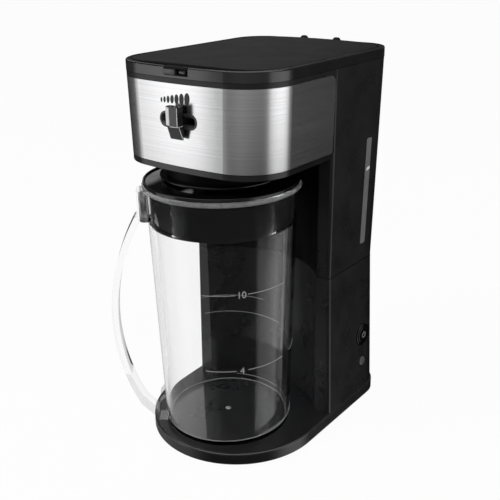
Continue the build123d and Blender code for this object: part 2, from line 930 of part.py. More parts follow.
lever_across = (cos(radians(lever_rest_turn)), sin(radians(lever_rest_turn)), 0)
lever_along = (sin(radians(lever_rest_turn)), -cos(radians(lever_rest_turn)), 0)
lever_plan = Plane(origin=(0, lever_pivot_y, 0), x_dir=lever_across, z_dir=(0, 0, 1))
lever_side = Plane(
    origin=(0, lever_pivot_y, 0),
    x_dir=lever_along,
    z_dir=(-lever_across[0], -lever_across[1], 0),
)
reach = lever_pivot_y - head_front
lever_bottom = lever_height - lever_thickness / 2
lever_top = lever_height + lever_thickness / 2
hub_radius = lever_pin_radius + 4.0
neck_start = reach - 12.0
facet_x = inlay_width - grip_half_width
grip_upper_back = reach + grip_back
grip_upper_front = reach + grip_front

with BuildPart() as strength_lever:
    with BuildSketch(lever_plan.offset(lever_bottom)):
        Circle(hub_radius)
        with BuildLine():
            Polyline(
                (-hub_radius * 0.7, 0),
                (-lever_neck / 2, -neck_start),
                (-lever_neck / 2, -grip_upper_back - 1),
                (lever_neck / 2, -grip_upper_back - 1),
                (lever_neck / 2, -neck_start),
                (hub_radius * 0.7, 0),
                close=True,
            )
        make_face()
        Circle(lever_pin_radius, mode=Mode.SUBTRACT)
    extrude(amount=lever_thickness)
    with BuildSketch(lever_plan.offset(grip_middle)):
        with BuildLine():
            Polyline(
                (-grip_half_width, -grip_upper_back),
                (grip_half_width, -grip_upper_back),
                (grip_half_width, -grip_upper_front),
                (facet_x, -grip_upper_front),
                (-grip_half_width, -grip_upper_front + inlay_slope),
                close=True,
            )
        make_face()
    extrude(amount=grip_top - grip_middle)
    with BuildSketch(lever_side):
        with BuildLine():
            Polyline(
                (grip_upper_back, grip_bottom),
                (grip_upper_back + 0.8, grip_bottom),
                (grip_upper_front - grip_step, grip_middle),
                (grip_upper_back, grip_middle),
                close=True,
            )
        make_face()
    extrude(amount=grip_half_width, both=True)
strength_lever.part.label = "strength_lever"
export_step(strength_lever.part, "parts/strength_lever.step")

facet_length = sqrt(inlay_width**2 + inlay_slope**2)
facet_along = (inlay_width / facet_length, -inlay_slope / facet_length)
inlay_plane = Plane(
    origin=lever_plan.from_local_coords((-grip_half_width, -grip_upper_front + inlay_slope, 0)),
    x_dir=(
        facet_along[0] * lever_across[0] - facet_along[1] * lever_along[0],
        facet_along[0] * lever_across[1] - facet_along[1] * lever_along[1],
        0,
    ),
    z_dir=(0, 0, 1),
)

with BuildPart() as lever_inlay:
    with BuildSketch(inlay_plane.offset(grip_middle + 0.6)):
        with Locations((facet_length / 2, 0)):
            Rectangle(facet_length - 0.8, inlay_thickness, align=(Align.CENTER, Align.MAX))
    extrude(amount=grip_top - grip_middle - 1.2)
lever_inlay.part.label = "lever_inlay"
export_step(lever_inlay.part, "parts/lever_inlay.step")

# ---------------------------------------------------------------- spray arm over the basket
pin_bottom = lever_bottom - gap


def arm_section(level, inset):
    with BuildSketch(Plane.XY.offset(level)) as section:
        with Locations(tube_places[1], (0, lever_pivot_y)):
            Circle(arm_half_width - inset)
        make_hull()
        with Locations(spray_centre):
            Circle(spray_radius - inset)
    return section.sketch


with BuildPart() as spray_arm:
    extrude(arm_section(arm_bottom, 0), amount=arm_height)
    chamfer(spray_arm.faces().sort_by(Axis.Z)[-1].edges(), 0.8)
    extrude(
        arm_section(arm_bottom + arm_wall, arm_wall),
        amount=arm_height - 2 * arm_wall,
        mode=Mode.SUBTRACT,
    )
    with BuildSketch(Plane.XY.offset(lever_top + gap)):
        with Locations((0, lever_pivot_y)):
            Circle(arm_half_width)
    extrude(amount=arm_bottom - lever_top - gap)
    with BuildSketch(Plane.XY.offset(pin_bottom)):
        with Locations((0, lever_pivot_y)):
            Circle(lever_pin_radius - running)
    extrude(amount=arm_bottom - pin_bottom)
    with BuildSketch(Plane.XY.offset(pin_bottom)):
        with Locations((0, lever_pivot_y)):
            Circle(screw_radius)
    extrude(amount=9, mode=Mode.SUBTRACT)
    with BuildSketch(Plane.XY.offset(arm_bottom)):
        with Locations(tube_places[1]):
            Circle(tube_bore + standpipe_wall)
        with Locations(spray_centre):
            with PolarLocations(spray_radius * 0.72, spray_hole_count):
                Circle(spray_hole_radius)
    extrude(amount=arm_wall, mode=Mode.SUBTRACT)
spray_arm.part.label = "spray_arm"
export_step(spray_arm.part, "parts/spray_arm.step")

with BuildPart() as lever_screw:
    with BuildSketch(Plane.XY.offset(pin_bottom - thin_wall)):
        with Locations((0, lever_pivot_y)):
            Circle(lever_pin_radius + 1.8)
            Rectangle(6, 1.2, mode=Mode.SUBTRACT)
    extrude(amount=thin_wall / 2)
    with BuildSketch(Plane.XY.offset(pin_bottom - thin_wall / 2)):
        with Locations((0, lever_pivot_y)):
            Circle(lever_pin_radius + 1.8)
    extrude(amount=thin_wall / 2)
    with BuildSketch(Plane.XY.offset(pin_bottom)):
        with Locations((0, lever_pivot_y)):
            Circle(screw_radius)
    extrude(amount=8)
lever_screw.part.label = "lever_screw"
export_step(lever_screw.part, "parts/lever_screw.step")

# ---------------------------------------------------------------- brew basket, filter and drip valve
basket_inner = basket_radius - basket_wall
ledge_top = filter_rim - filter_wall - gap
filter_top_radius = basket_inner - basket_ledge - filter_gap
filter_foot_radius = filter_top_radius - filter_taper
cage_height = 1.5
cage_radius = 10.0
stem_reach = 0.5
cage_bottom = filter_bottom - gap - drip_travel - stem_reach - cage_height
valve_head_radius = 6.0
stem_radius = 1.6

with BuildPart() as brew_basket:
    with BuildSketch(Plane.XY.offset(basket_bottom)):
        with Locations(spray_centre):
            Circle(basket_radius)
    extrude(amount=basket_rim - basket_bottom)
    with BuildSketch(Plane.XY.offset(basket_floor)):
        with Locations(spray_centre):
            Circle(basket_inner)
    extrude(amount=basket_rim, mode=Mode.SUBTRACT)
    with BuildSketch(Plane.XY.offset(ledge_top - thin_wall)):
        with Locations(spray_centre):
            Circle(basket_inner + 0.5)
            Circle(basket_inner - basket_ledge, mode=Mode.SUBTRACT)
    extrude(amount=thin_wall)
    with BuildSketch(Plane.XY.offset(basket_bottom - nozzle_length)):
        with Locations(spray_centre):
            Circle(nozzle_radius)
    extrude(amount=nozzle_length)
    with BuildSketch(Plane.XY.offset(basket_bottom - nozzle_length)):
        with Locations(spray_centre):
            Circle(nozzle_bore)
    extrude(amount=nozzle_length + basket_wall, mode=Mode.SUBTRACT)
    with BuildSketch(Plane.XY.offset(basket_floor)):
        with Locations(spray_centre):
            with PolarLocations(cage_radius - thin_wall / 2, 3):
                Rectangle(thin_wall, 3)
    extrude(amount=cage_bottom - basket_floor)
    with BuildSketch(Plane.XY.offset(cage_bottom)):
        with Locations(spray_centre):
            Circle(cage_radius)
            Circle(stem_radius + gap, mode=Mode.SUBTRACT)
    extrude(amount=cage_height)
brew_basket.part.label = "brew_basket"
export_step(brew_basket.part, "parts/brew_basket.step")

axis_line = Axis((0, jug_y, 0), (0, 0, 1))
axis_plane = Plane.XZ.offset(-jug_y)

with BuildPart() as basket_filter:
    with BuildSketch(axis_plane):
        with BuildLine():
            Polyline(
                (0, filter_bottom),
                (filter_foot_radius, filter_bottom),
                (filter_top_radius, filter_rim - filter_wall),
                (basket_inner - gap, filter_rim - filter_wall),
                (basket_inner - gap, filter_rim),
                (filter_top_radius - filter_wall, filter_rim),
                (filter_foot_radius - filter_wall, filter_bottom + filter_wall),
                (0, filter_bottom + filter_wall),
                close=True,
            )
        make_face()
    revolve(axis=axis_line)
    with BuildSketch(Plane.XY.offset(filter_bottom + window_rail)):
        with Locations(spray_centre):
            with PolarLocations(filter_foot_radius, window_count):
                Rectangle(
                    4 * filter_taper,
                    2 * filter_foot_radius * sin(radians(180 / window_count)) - window_rail,
                )
    extrude(amount=filter_height - filter_wall - 2 * window_rail, mode=Mode.SUBTRACT)
basket_filter.part.label = "basket_filter"
export_step(basket_filter.part, "parts/basket_filter.step")

with BuildPart() as filter_mesh:
    with BuildSketch(axis_plane):
        with BuildLine():
            Polyline(
                (filter_foot_radius - filter_wall, filter_bottom + filter_wall),
                (filter_top_radius - filter_wall, filter_rim),
                (filter_top_radius - filter_wall - mesh_thickness, filter_rim),
                (filter_foot_radius - filter_wall - mesh_thickness, filter_bottom + filter_wall),
                close=True,
            )
        make_face()
    revolve(axis=axis_line)
filter_mesh.part.label = "filter_mesh"
export_step(filter_mesh.part, "parts/filter_mesh.step")

valve_seat = basket_floor + 0.1
valve_head_top = valve_seat + 2.0

with BuildPart() as drip_stop:
    with BuildSketch(Plane.XY.offset(basket_bottom - nozzle_length - 0.3)):
        with Locations(spray_centre):
            Circle(nozzle_bore - 1.6)
    extrude(amount=valve_seat - basket_bottom + nozzle_length + 0.3)
    with BuildSketch(Plane.XY.offset(valve_seat)):
        with Locations(spray_centre):
            Circle(valve_head_radius)
    extrude(amount=valve_head_top - valve_seat)
    with BuildSketch(Plane.XY.offset(valve_head_top)):
        with Locations(spray_centre):
            Circle(stem_radius)
    extrude(amount=cage_bottom + cage_height + stem_reach - valve_head_top)
drip_stop.part.label = "drip_stop"
export_step(drip_stop.part, "parts/drip_stop.step")


def coil_spring(place, radius, wire, bottom, top, turns, direction, label):
    """A round-wire spring between two faces, touching both."""
    height = top - bottom - 2 * wire
    start = tuple(place[i] + direction[i] * (bottom + wire) for i in range(3))
    with BuildPart() as spring:
        with BuildLine() as coil:
            Helix(pitch=height / turns, height=height, radius=radius, center=start, direction=direction)
        with BuildSketch(Plane(origin=coil.line @ 0, z_dir=coil.line % 0)):
            Circle(wire)
        sweep(is_frenet=True)
    spring.part.label = label
    export_step(spring.part, "parts/" + label + ".step")


coil_spring(
    (0, jug_y, 0),
    valve_head_radius - 2.2,
    spring_wire,
    valve_head_top,
    cage_bottom,
    3,
    (0, 0, 1),
    "drip_spring",
)

# ---------------------------------------------------------------- top frame
lid_bottom = total_height - lid_edge_thickness
opening_back = hinge_y - hinge_rim
knuckle_places = [-hinge_x, hinge_x]
pin_length = knuckle_width + 10.0

with BuildPart() as top_frame:
    extrude(head_section(frame_bottom, total_height, 0, back_top, rear_corner), amount=frame_height)
    fillet(top_frame.faces().sort_by(Axis.Z)[-1].edges(), 1.2)
    extrude(
        head_section(
            frame_bottom - frame_skirt,
            total_height,
            frame_skirt_inset,
            back_top - frame_skirt_inset,
            rear_corner - frame_skirt_inset,
        ),
        amount=frame_skirt,
    )
    extrude(
        head_section(
            frame_bottom - frame_skirt - 1,
            total_height,
            lid_rim + lid_ledge,
            opening_back - lid_ledge,
            rear_corner - lid_rim - lid_ledge,
        ),
        amount=frame_height + 10,
        mode=Mode.SUBTRACT,
    )
    extrude(
        head_section(lid_bottom - gap, total_height, lid_rim, opening_back, rear_corner - lid_rim),
        amount=10,
        mode=Mode.SUBTRACT,
    )
    # the tongue's notch
    with BuildSketch(Plane.XY.offset(total_height - notch_drop)):
        with Locations((0, head_front + notch_depth)):
            Rectangle(2 * tongue_half_width, 20, align=(Align.CENTER, Align.MAX))
    extrude(amount=notch_drop, mode=Mode.SUBTRACT)
    with BuildSketch(Plane.XY.offset(total_height - tongue_thickness - gap)):
        with Locations((0, head_front + lid_rim + 1)):
            Rectangle(2 * (tongue_half_width + gap), 20, align=(Align.CENTER, Align.MAX))
    extrude(amount=4, mode=Mode.SUBTRACT)
    # pockets for the lid's knuckles and the bores for their pins
    with BuildSketch(Plane.XY.offset(hinge_height - knuckle_radius - 0.4)):
        with Locations((-hinge_x, hinge_y - knuckle_radius - 0.4), (hinge_x, hinge_y - knuckle_radius - 0.4)):
            Rectangle(knuckle_width + 2 * gap, 30, align=(Align.CENTER, Align.MIN))
    extrude(amount=20, mode=Mode.SUBTRACT)
    with BuildSketch(Plane.YZ):
        with Locations((hinge_y, hinge_height)):
            Circle(hinge_pin_radius)
    extrude(amount=hinge_x + pin_length / 2, both=True, mode=Mode.SUBTRACT)
    with BuildSketch(Plane.YZ):
        with Locations((hinge_y, hinge_height)):
            Circle(hinge_pin_radius)
    extrude(amount=hinge_x - pin_length / 2, both=True)
top_frame.part.label = "top_frame"
export_step(top_frame.part, "parts/top_frame.step")

with BuildPart() as hinge_pins:
    for place in knuckle_places:
        with BuildSketch(Plane.YZ.offset(place)):
            with Locations((hinge_y, hinge_height)):
                Circle(hinge_pin_radius)
        extrude(amount=pin_length / 2, both=True)
hinge_pins.part.label = "hinge_pins"
export_step(hinge_pins.part, "parts/hinge_pins.step")

# ---------------------------------------------------------------- lid
lid_inset = lid_rim + lid_gap
lid_back = opening_back - lid_back_gap
lid_half_width = head_half_width(total_height) - lid_inset
crown_radius = (lid_half_width**2 + lid_crown**2) / (2 * lid_crown)

with BuildPart() as lid:
    extrude(
        head_section(lid_bottom, total_height, lid_inset, lid_back, rear_corner - lid_inset),
        amount=lid_edge_thickness + lid_crown,
    )
    with Locations(Location((0, 0, total_height + lid_crown - crown_radius), (90, 0, 0))):
        Cylinder(crown_radius, 5 * bay_radius, mode=Mode.INTERSECT)
    fillet(lid.faces().sort_by(Axis.Z)[-1].edges(), 0.8)
    extrude(
        head_section(
            lid_bottom - lid_rib_height,
            total_height,
            lid_rib_inset,
            lid_back - 5,
            rear_corner - lid_rib_inset,
        ),
        amount=lid_rib_height,
    )
    extrude(
        head_section(
            lid_bottom - lid_rib_height,
            total_height,
            lid_rib_inset + lid_rib_thickness,
            lid_back - 5 - lid_rib_thickness,
            rear_corner - lid_rib_inset - lid_rib_thickness,
        ),
        amount=lid_rib_height,
        mode=Mode.SUBTRACT,
    )
    with BuildSketch(Plane.XY.offset(total_height - tongue_thickness)):
        with Locations((0, head_front + 0.3)):
            Rectangle(2 * tongue_half_width, lid_inset + 4, align=(Align.CENTER, Align.MIN))
    extrude(amount=tongue_thickness)
    for place in knuckle_places:
        with BuildSketch(Plane.YZ.offset(place)):
            with Locations((lid_back - 2, lid_bottom)):
                Rectangle(
                    hinge_y - lid_back + 2,
                    lid_edge_thickness,
                    align=(Align.MIN, Align.MIN),
                )
            with Locations((hinge_y, hinge_height)):
                Circle(knuckle_radius)
        extrude(amount=knuckle_width / 2, both=True)
    fillet(
        lid.edges()
        .filter_by(GeomType.CIRCLE)
        .filter_by(lambda edge: abs(edge.radius - knuckle_radius) < 0.01),
        knuckle_round,
    )
    with BuildSketch(Plane.YZ):
        with Locations((hinge_y, hinge_height)):
            Circle(hinge_pin_radius + running)
    extrude(amount=hinge_x + knuckle_width, both=True, mode=Mode.SUBTRACT)
lid.part.label = "lid"
export_step(lid.part, "parts/lid.step")

# ---------------------------------------------------------------- jug
rim_bottom = jug_rim_top - jug_rim_height
wall_slope = (jug_rim_wall_radius - jug_foot_radius) / (rim_bottom - jug_bottom)
floor_top = jug_bottom + jug_floor
spout_plan = Plane(
    origin=(0, jug_y, 0),
    x_dir=(cos(radians(spout_angle)), sin(radians(spout_angle)), 0),
    z_dir=(0, 0, 1),
)
spout_side = Plane(
    origin=(0, jug_y, 0),
    x_dir=(cos(radians(spout_angle)), sin(radians(spout_angle)), 0),
    z_dir=(sin(radians(spout_angle)), -cos(radians(spout_angle)), 0),
)


def jug_wall_radius(level):
    return jug_foot_radius + wall_slope * (level - jug_bottom)


def spout_section(level, root, tip, half, tip_round):
    with BuildSketch(spout_plan.offset(level)) as section:
        with BuildLine():
            Polyline((root, -half), (tip, 0), (root, half), close=True)
        make_face()
        fillet(section.vertices().sort_by(Axis.X)[-1:], tip_round)
    return section.sketch


spout_foot = jug_rim_top - spout_height
spout_foot_radius = jug_wall_radius(spout_foot)
spout_tip = jug_rim_top - spout_droop
spout_root = jug_inner_radius + 0.6

with BuildPart() as jug:
    with BuildSketch(axis_plane) as jug_profile:
        with BuildLine():
            Polyline(
                (0, jug_bottom),
                (jug_foot_radius, jug_bottom),
                (jug_rim_wall_radius, rim_bottom),
                (jug_rim_radius, rim_bottom),
                (jug_rim_radius, jug_rim_top),
                (jug_inner_radius, jug_rim_top),
                (jug_wall_radius(floor_top) - jug_wall, floor_top),
                (0, floor_top),
                close=True,
            )
        make_face()
        fillet(jug_profile.vertices().group_by(Axis.Y)[0].sort_by(Axis.X)[-1:], jug_foot_round)
        fillet(jug_profile.vertices().group_by(Axis.Y)[-1].sort_by(Axis.X)[-1:], 1.2)
    revolve(axis=axis_line)
    with BuildSketch(Plane.XY.offset(floor_top)):
        with Locations(spray_centre):
            Circle(gate_mark_radius)
    extrude(amount=gap)
    # the pouring lip: a short beak that slopes down from the rim
    loft(
        sections=[
            spout_section(spout_foot, spout_foot_radius - 1.6, spout_foot_radius - 0.2, 1.2, 0.2),
            spout_section(spout_tip, spout_root, spout_reach, spout_half_width, 1.2),
        ],
        ruled=True,
    )
    extrude(spout_section(spout_tip, spout_root, spout_reach, spout_half_width, 1.2), amount=spout_droop)
    loft(
        sections=[
            spout_section(
                spout_foot + 2 * spout_wall,
                spout_foot_radius - jug_wall - 1.6,
                spout_foot_radius - jug_wall + 0.4,
                1.2,
                0.2,
            ),
            spout_section(
                spout_tip,
                jug_inner_radius - 2,
                spout_reach - 1.4 * spout_wall,
                spout_half_width - spout_wall,
                0.6,
            ),
        ],
        ruled=True,
        mode=Mode.SUBTRACT,
    )
    extrude(
        spout_section(
            spout_tip,
            jug_inner_radius - 2,
            spout_reach - 1.4 * spout_wall,
            spout_half_width - spout_wall,
            0.6,
        ),
        amount=spout_droop + 1,
        mode=Mode.SUBTRACT,
    )
    with BuildSketch(spout_side):
        with BuildLine():
            Polyline(
                (jug_rim_wall_radius, jug_rim_top - jug_rim_height / 2),
                (spout_reach, spout_tip),
                (spout_reach + 1, spout_tip),
                (spout_reach + 1, jug_rim_top + 2),
                (jug_rim_wall_radius, jug_rim_top + 2),
                close=True,
            )
        make_face()
    extrude(amount=spout_half_width, both=True, mode=Mode.SUBTRACT)
jug.part.label = "jug"
export_step(jug.part, "parts/jug.step")

# ---------------------------------------------------------------- jug handle, opposite the spout
handle_side = Plane(
    origin=(0, jug_y, 0),
    x_dir=(-cos(radians(spout_angle)), -sin(radians(spout_angle)), 0),
    z_dir=(-sin(radians(spout_angle)), cos(radians(spout_angle)), 0),
)
handle_middle = (handle_top + handle_foot) / 2
handle_mid_reach = (handle_top_reach + handle_foot_reach) / 2 + handle_bow

with BuildPart() as handle_strip:
    with BuildSketch(handle_side):
        with BuildLine():
            ThreePointArc(
                (handle_top_reach, handle_top),
                (handle_mid_reach, handle_middle),
                (handle_foot_reach, handle_foot),
            )
            Line((handle_foot_reach, handle_foot), (foot_bracket_reach + 0.4, jug_bottom + 3))
            offset(amount=handle_thickness / 2, kind=Kind.ARC)
        make_face()
    extrude(amount=handle_width / 2, both=True)

with BuildPart() as jug_handle:
    add(handle_strip.part)
    with BuildSketch(handle_side) as brackets:
        with BuildLine():
            Polyline(
                (jug_foot_radius, bracket_bottom),
                (bracket_reach, bracket_bottom),
                (bracket_reach, bracket_top),
                (jug_foot_radius, bracket_top),
                close=True,
            )
        make_face()
        fillet(brackets.vertices().sort_by(Axis.Y)[:2].sort_by(Axis.X)[-1:], bracket_round)
        with BuildLine():
            Polyline(
                (jug_foot_radius - 6, jug_bottom),
                (foot_bracket_reach, jug_bottom),
                (foot_bracket_reach, foot_bracket_top - 4),
                (foot_bracket_reach - 3, foot_bracket_top),
                (jug_foot_radius - 6, foot_bracket_top),
                close=True,
            )
        make_face()
    extrude(amount=bracket_width / 2, both=True)
    with BuildSketch(axis_plane) as jug_body:
        with BuildLine():
            Polyline(
                (0, jug_bottom),
                (jug_foot_radius, jug_bottom),
                (jug_rim_wall_radius, rim_bottom),
                (0, rim_bottom),
                close=True,
            )
        make_face()
        fillet(jug_body.vertices().group_by(Axis.Y)[0].sort_by(Axis.X)[-1:], jug_foot_round)
    revolve(axis=axis_line, mode=Mode.SUBTRACT)
jug_handle.part.label = "jug_handle"
export_step(jug_handle.part, "parts/jug_handle.step")

# ---------------------------------------------------------------- jug lid
flange_bottom = jug_rim_top + gap
flange_top = flange_bottom + lid_flange_height
dish_floor = flange_top - dish_depth
dish_edge = lid_flange_radius - lid_flange_width
skirt_bottom = flange_bottom - skirt_depth
skirt_radius = jug_wall_radius(skirt_bottom) - jug_wall - skirt_gap
skirt_inner = skirt_radius - jug_lid_wall
slot_bottom = skirt_bottom + 5.0
slot_top = dish_floor - 5.0
ring_outer = drip_ring_radius + thin_wall
ring_top = dish_floor + drip_ring_height
dish_middle = (dish_edge * 0.62, dish_floor + dish_depth * 0.34)

with BuildPart() as jug_lid:
    with BuildSketch(axis_plane) as lid_profile:
        with BuildLine():
            Line((drip_hole_radius, dish_floor), (drip_ring_radius, dish_floor))
            Polyline(
                (drip_ring_radius, dish_floor),
                (drip_ring_radius, ring_top),
                (ring_outer, ring_top),
                (ring_outer, dish_floor),
            )
            ThreePointArc((ring_outer, dish_floor), dish_middle, (dish_edge, flange_top))
            Polyline(
                (dish_edge, flange_top),
                (lid_flange_radius, flange_top),
                (lid_flange_radius, flange_bottom),
                (skirt_radius, flange_bottom),
                (skirt_radius, skirt_bottom),
                (skirt_inner, skirt_bottom),
                (skirt_inner, flange_bottom - 2 * jug_lid_wall),
            )
            ThreePointArc(
                (skirt_inner, flange_bottom - 2 * jug_lid_wall),
                (dish_middle[0], dish_middle[1] - jug_lid_wall),
                (drip_hole_radius, dish_floor - jug_lid_wall),
            )
            Line((drip_hole_radius, dish_floor - jug_lid_wall), (drip_hole_radius, dish_floor))
        make_face()
        fillet(lid_profile.vertices().group_by(Axis.Y)[-1].sort_by(Axis.X)[-1:], 1.0)
    revolve(axis=axis_line)
    # the pouring strainer on the spout's side
    for number in range(slot_count):
        turn = spout_angle + slot_pitch * (number - (slot_count - 1) / 2)
        with BuildSketch(Plane.XY.offset(slot_bottom)):
            with Locations(spray_centre):
                with PolarLocations(skirt_radius, 1, start_angle=turn):
                    Rectangle(4 * jug_lid_wall, slot_width)
        extrude(amount=slot_top - slot_bottom, mode=Mode.SUBTRACT)
jug_lid.part.label = "jug_lid"
export_step(jug_lid.part, "parts/jug_lid.step")

# ---------------------------------------------------------------- switch, lamp and cord gland
cap_depth = 4.0
barrel_depth = 8.0
switch_plane = Plane.YZ.offset(switch_face - barrel_depth)

with BuildPart() as switch_bezel:
    with BuildSketch(Plane.YZ.offset(switch_seat)):
        with Locations((control_y, button_height)):
            Circle(ring_radius)
    extrude(amount=switch_face + bezel_ring_proud - switch_seat)
    fillet(switch_bezel.faces().sort_by(Axis.X)[-1].edges(), 0.8)
    with BuildSketch(switch_plane):
        with Locations((control_y, button_height)):
            Circle(barrel_radius)
    extrude(amount=switch_seat - switch_face + barrel_depth)
    with BuildSketch(switch_plane):
        with Locations((control_y, button_height)):
            Circle(bezel_bore)
    extrude(amount=barrel_depth + 5, mode=Mode.SUBTRACT)
switch_bezel.part.label = "switch_bezel"
export_step(switch_bezel.part, "parts/switch_bezel.step")

with BuildPart() as switch_body:
    with BuildSketch(switch_plane):
        with Locations((control_y, button_height)):
            Rectangle(switch_width, switch_width)
    extrude(amount=-switch_depth)
    with BuildSketch(switch_plane):
        with Locations((control_y, button_height)):
            Circle(2.5 + gap)
    extrude(amount=-8, mode=Mode.SUBTRACT)
    with BuildSketch(switch_plane.offset(-switch_depth)):
        with Locations((control_y - 5, button_height), (control_y + 5, button_height)):
            Rectangle(0.8, 6)
    extrude(amount=-8)
switch_body.part.label = "switch_body"
export_step(switch_body.part, "parts/switch_body.step")

with BuildPart() as power_button:
    with BuildSketch(Plane.YZ.offset(switch_face - cap_depth)):
        with Locations((control_y, button_height)):
            Circle(button_radius)
    extrude(amount=cap_depth + button_proud)
    fillet(power_button.faces().sort_by(Axis.X)[-1].edges(), 0.7)
    with BuildSketch(Plane.YZ.offset(switch_face - barrel_depth - 2.5)):
        with Locations((control_y, button_height)):
            Circle(2.5)
    extrude(amount=barrel_depth + 2.5 - cap_depth)
power_button.part.label = "power_button"
export_step(power_button.part, "parts/power_button.step")

coil_spring(
    (0, control_y, button_height),
    5.0,
    spring_wire,
    switch_face - barrel_depth,
    switch_face - cap_depth,
    1.5,
    (1, 0, 0),
    "button_spring",
)

with BuildPart() as indicator_lens:
    with BuildSketch(Plane.YZ.offset(lamp_face - wall - 0.2 - thin_wall)):
        with Locations((control_y, lamp_height)):
            Circle(lamp_radius + 1.6)
    extrude(amount=thin_wall)
    with BuildSketch(Plane.YZ.offset(lamp_face - wall - 0.2)):
        with Locations((control_y, lamp_height)):
            Circle(lamp_radius)
    extrude(amount=wall + 1.2)
    fillet(indicator_lens.faces().sort_by(Axis.X)[-1].edges(), 0.8)
indicator_lens.part.label = "indicator_lens"
export_step(indicator_lens.part, "parts/indicator_lens.step")

gland_face = lower_back(gland_height)

with BuildPart() as cord_gland:
    with BuildSketch(Plane.XZ.offset(-gland_face - 0.3 - thin_wall)):
        with Locations((gland_x, gland_height)):
            Circle(gland_radius + 2)
    extrude(amount=thin_wall)
    fillet(cord_gland.faces().sort_by(Axis.Y)[-1].edges(), 0.6)
    with BuildSketch(Plane.XZ.offset(-gland_face - 0.3)):
        with Locations((gland_x, gland_height)):
            Circle(gland_radius)
    extrude(amount=wall + 6)
    with BuildSketch(Plane.XZ.offset(-gland_face - 0.3 - thin_wall)):
        with Locations((gland_x, gland_height)):
            Circle(gland_radius - 1.6)
    extrude(amount=wall + 12, mode=Mode.SUBTRACT)
cord_gland.part.label = "cord_gland"
export_step(cord_gland.part, "parts/cord_gland.step")
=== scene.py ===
import json
from math import cos, pi, radians, sin

import bmesh
import bpy
from mathutils import Matrix, Vector
from mathutils.bvhtree import BVHTree


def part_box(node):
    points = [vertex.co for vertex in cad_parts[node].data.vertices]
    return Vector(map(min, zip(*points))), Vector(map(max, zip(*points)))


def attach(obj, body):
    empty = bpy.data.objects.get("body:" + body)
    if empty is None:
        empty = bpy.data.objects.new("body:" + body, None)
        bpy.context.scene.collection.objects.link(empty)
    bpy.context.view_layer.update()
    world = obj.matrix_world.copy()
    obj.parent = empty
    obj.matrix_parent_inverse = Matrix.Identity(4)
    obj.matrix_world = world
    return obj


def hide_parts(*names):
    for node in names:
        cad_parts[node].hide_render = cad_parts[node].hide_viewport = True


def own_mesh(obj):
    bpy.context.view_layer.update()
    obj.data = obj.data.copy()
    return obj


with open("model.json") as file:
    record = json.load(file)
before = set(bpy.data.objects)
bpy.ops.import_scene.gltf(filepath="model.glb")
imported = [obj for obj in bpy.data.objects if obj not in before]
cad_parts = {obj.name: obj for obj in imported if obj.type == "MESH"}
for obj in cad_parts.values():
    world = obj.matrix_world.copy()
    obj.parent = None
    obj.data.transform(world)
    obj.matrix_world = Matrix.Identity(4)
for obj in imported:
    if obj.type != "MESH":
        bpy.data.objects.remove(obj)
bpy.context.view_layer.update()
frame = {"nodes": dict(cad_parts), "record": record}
nodes = frame["nodes"]
joints = {joint["name"]: joint for joint in frame["record"]["behaviour"]["joints"]}

# ---------------------------------------------------------------- places and sizes, in metres
jug_axis_y = joints["pitcher_lid_turn"]["pos_m"][1]
lever_pivot_y = joints["strength_swing"]["pos_m"][1]
front_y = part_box("steel_band")[0].y
front_radius = 0.372
jug_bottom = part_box("jug")[0].z
jug_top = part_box("jug")[1].z
jug_rim_height = 0.0036
jug_foot_radius = 0.0556
jug_rim_radius = 0.0628
jug_wall_slope = (jug_rim_radius - jug_foot_radius) / (jug_top - jug_rim_height - jug_bottom)
spout_angle = 41

# ---------------------------------------------------------------- where a finish changes on a piece, some of them painted shade and painted highlight
# Each zone is its lowest level, its highest level and its reach from the jug's axis, in metres.
everywhere = 1.0
base_edge = (0.0098, 0.01115, everywhere)
# painted shade: the bay wall behind the jug
bay_wall = (0.133, 0.2501, 0.0797)
# painted shade: the head's underside
head_underside = (0.0, 0.2504, everywhere)
# painted highlight: the light band round the jug's rim
jug_rim = (0.2294, 0.25, everywhere)
jug_beside_skirt = (0.2015, 0.2290, everywhere)
# painted shade: the handle's dark bracket
handle_bracket = (0.1985, 0.2275, 0.0688)
handle_foot = (-1.0, 0.060, everywhere)


# ---------------------------------------------------------------- material helpers
def new_material(name):
    material = bpy.data.materials.new(name)
    material.use_nodes = True
    tree = material.node_tree
    return material, tree, tree.nodes["Principled BSDF"]


def object_pattern(tree, scale):
    """Object coordinates, stretched by scale, ready to feed a pattern."""
    place = tree.nodes.new("ShaderNodeTexCoord")
    mapping = tree.nodes.new("ShaderNodeMapping")
    mapping.inputs["Scale"].default_value = scale
    tree.links.new(place.outputs["Object"], mapping.inputs["Vector"])
    return mapping.outputs["Vector"]


def noise(tree, vector, scale, detail=3.0, rough=0.6):
    node = tree.nodes.new("ShaderNodeTexNoise")
    node.inputs["Scale"].default_value = scale
    node.inputs["Detail"].default_value = detail
    node.inputs["Roughness"].default_value = rough
    tree.links.new(vector, node.inputs["Vector"])
    return node.outputs["Fac"]


def spread(tree, value, low, high):
    """Remaps a pattern's middle range to low..high."""
    node = tree.nodes.new("ShaderNodeMapRange")
    node.inputs["From Min"].default_value = 0.3
    node.inputs["From Max"].default_value = 0.7
    node.inputs["To Min"].default_value = low
    node.inputs["To Max"].default_value = high
    tree.links.new(value, node.inputs["Value"])
    return node.outputs["Result"]


def two_tones(tree, value, dark, light):
    node = tree.nodes.new("ShaderNodeMix")
    node.data_type = "RGBA"
    node.inputs["A"].default_value = (*dark, 1)
    node.inputs["B"].default_value = (*light, 1)
    tree.links.new(value, node.inputs["Factor"])
    return node.outputs["Result"]


def relief(tree, shader, value, strength, distance):
    node = tree.nodes.new("ShaderNodeBump")
    node.inputs["Strength"].default_value = strength
    node.inputs["Distance"].default_value = distance
    tree.links.new(value, node.inputs["Height"])
    tree.links.new(node.outputs["Normal"], shader.inputs["Normal"])


def calculate(tree, operation, *values):
    node = tree.nodes.new("ShaderNodeMath")
    node.operation = operation
    for socket, value in zip(node.inputs, values):
        if isinstance(value, (int, float)):
            socket.default_value = value
        else:
            tree.links.new(value, socket)
    return node.outputs[0]


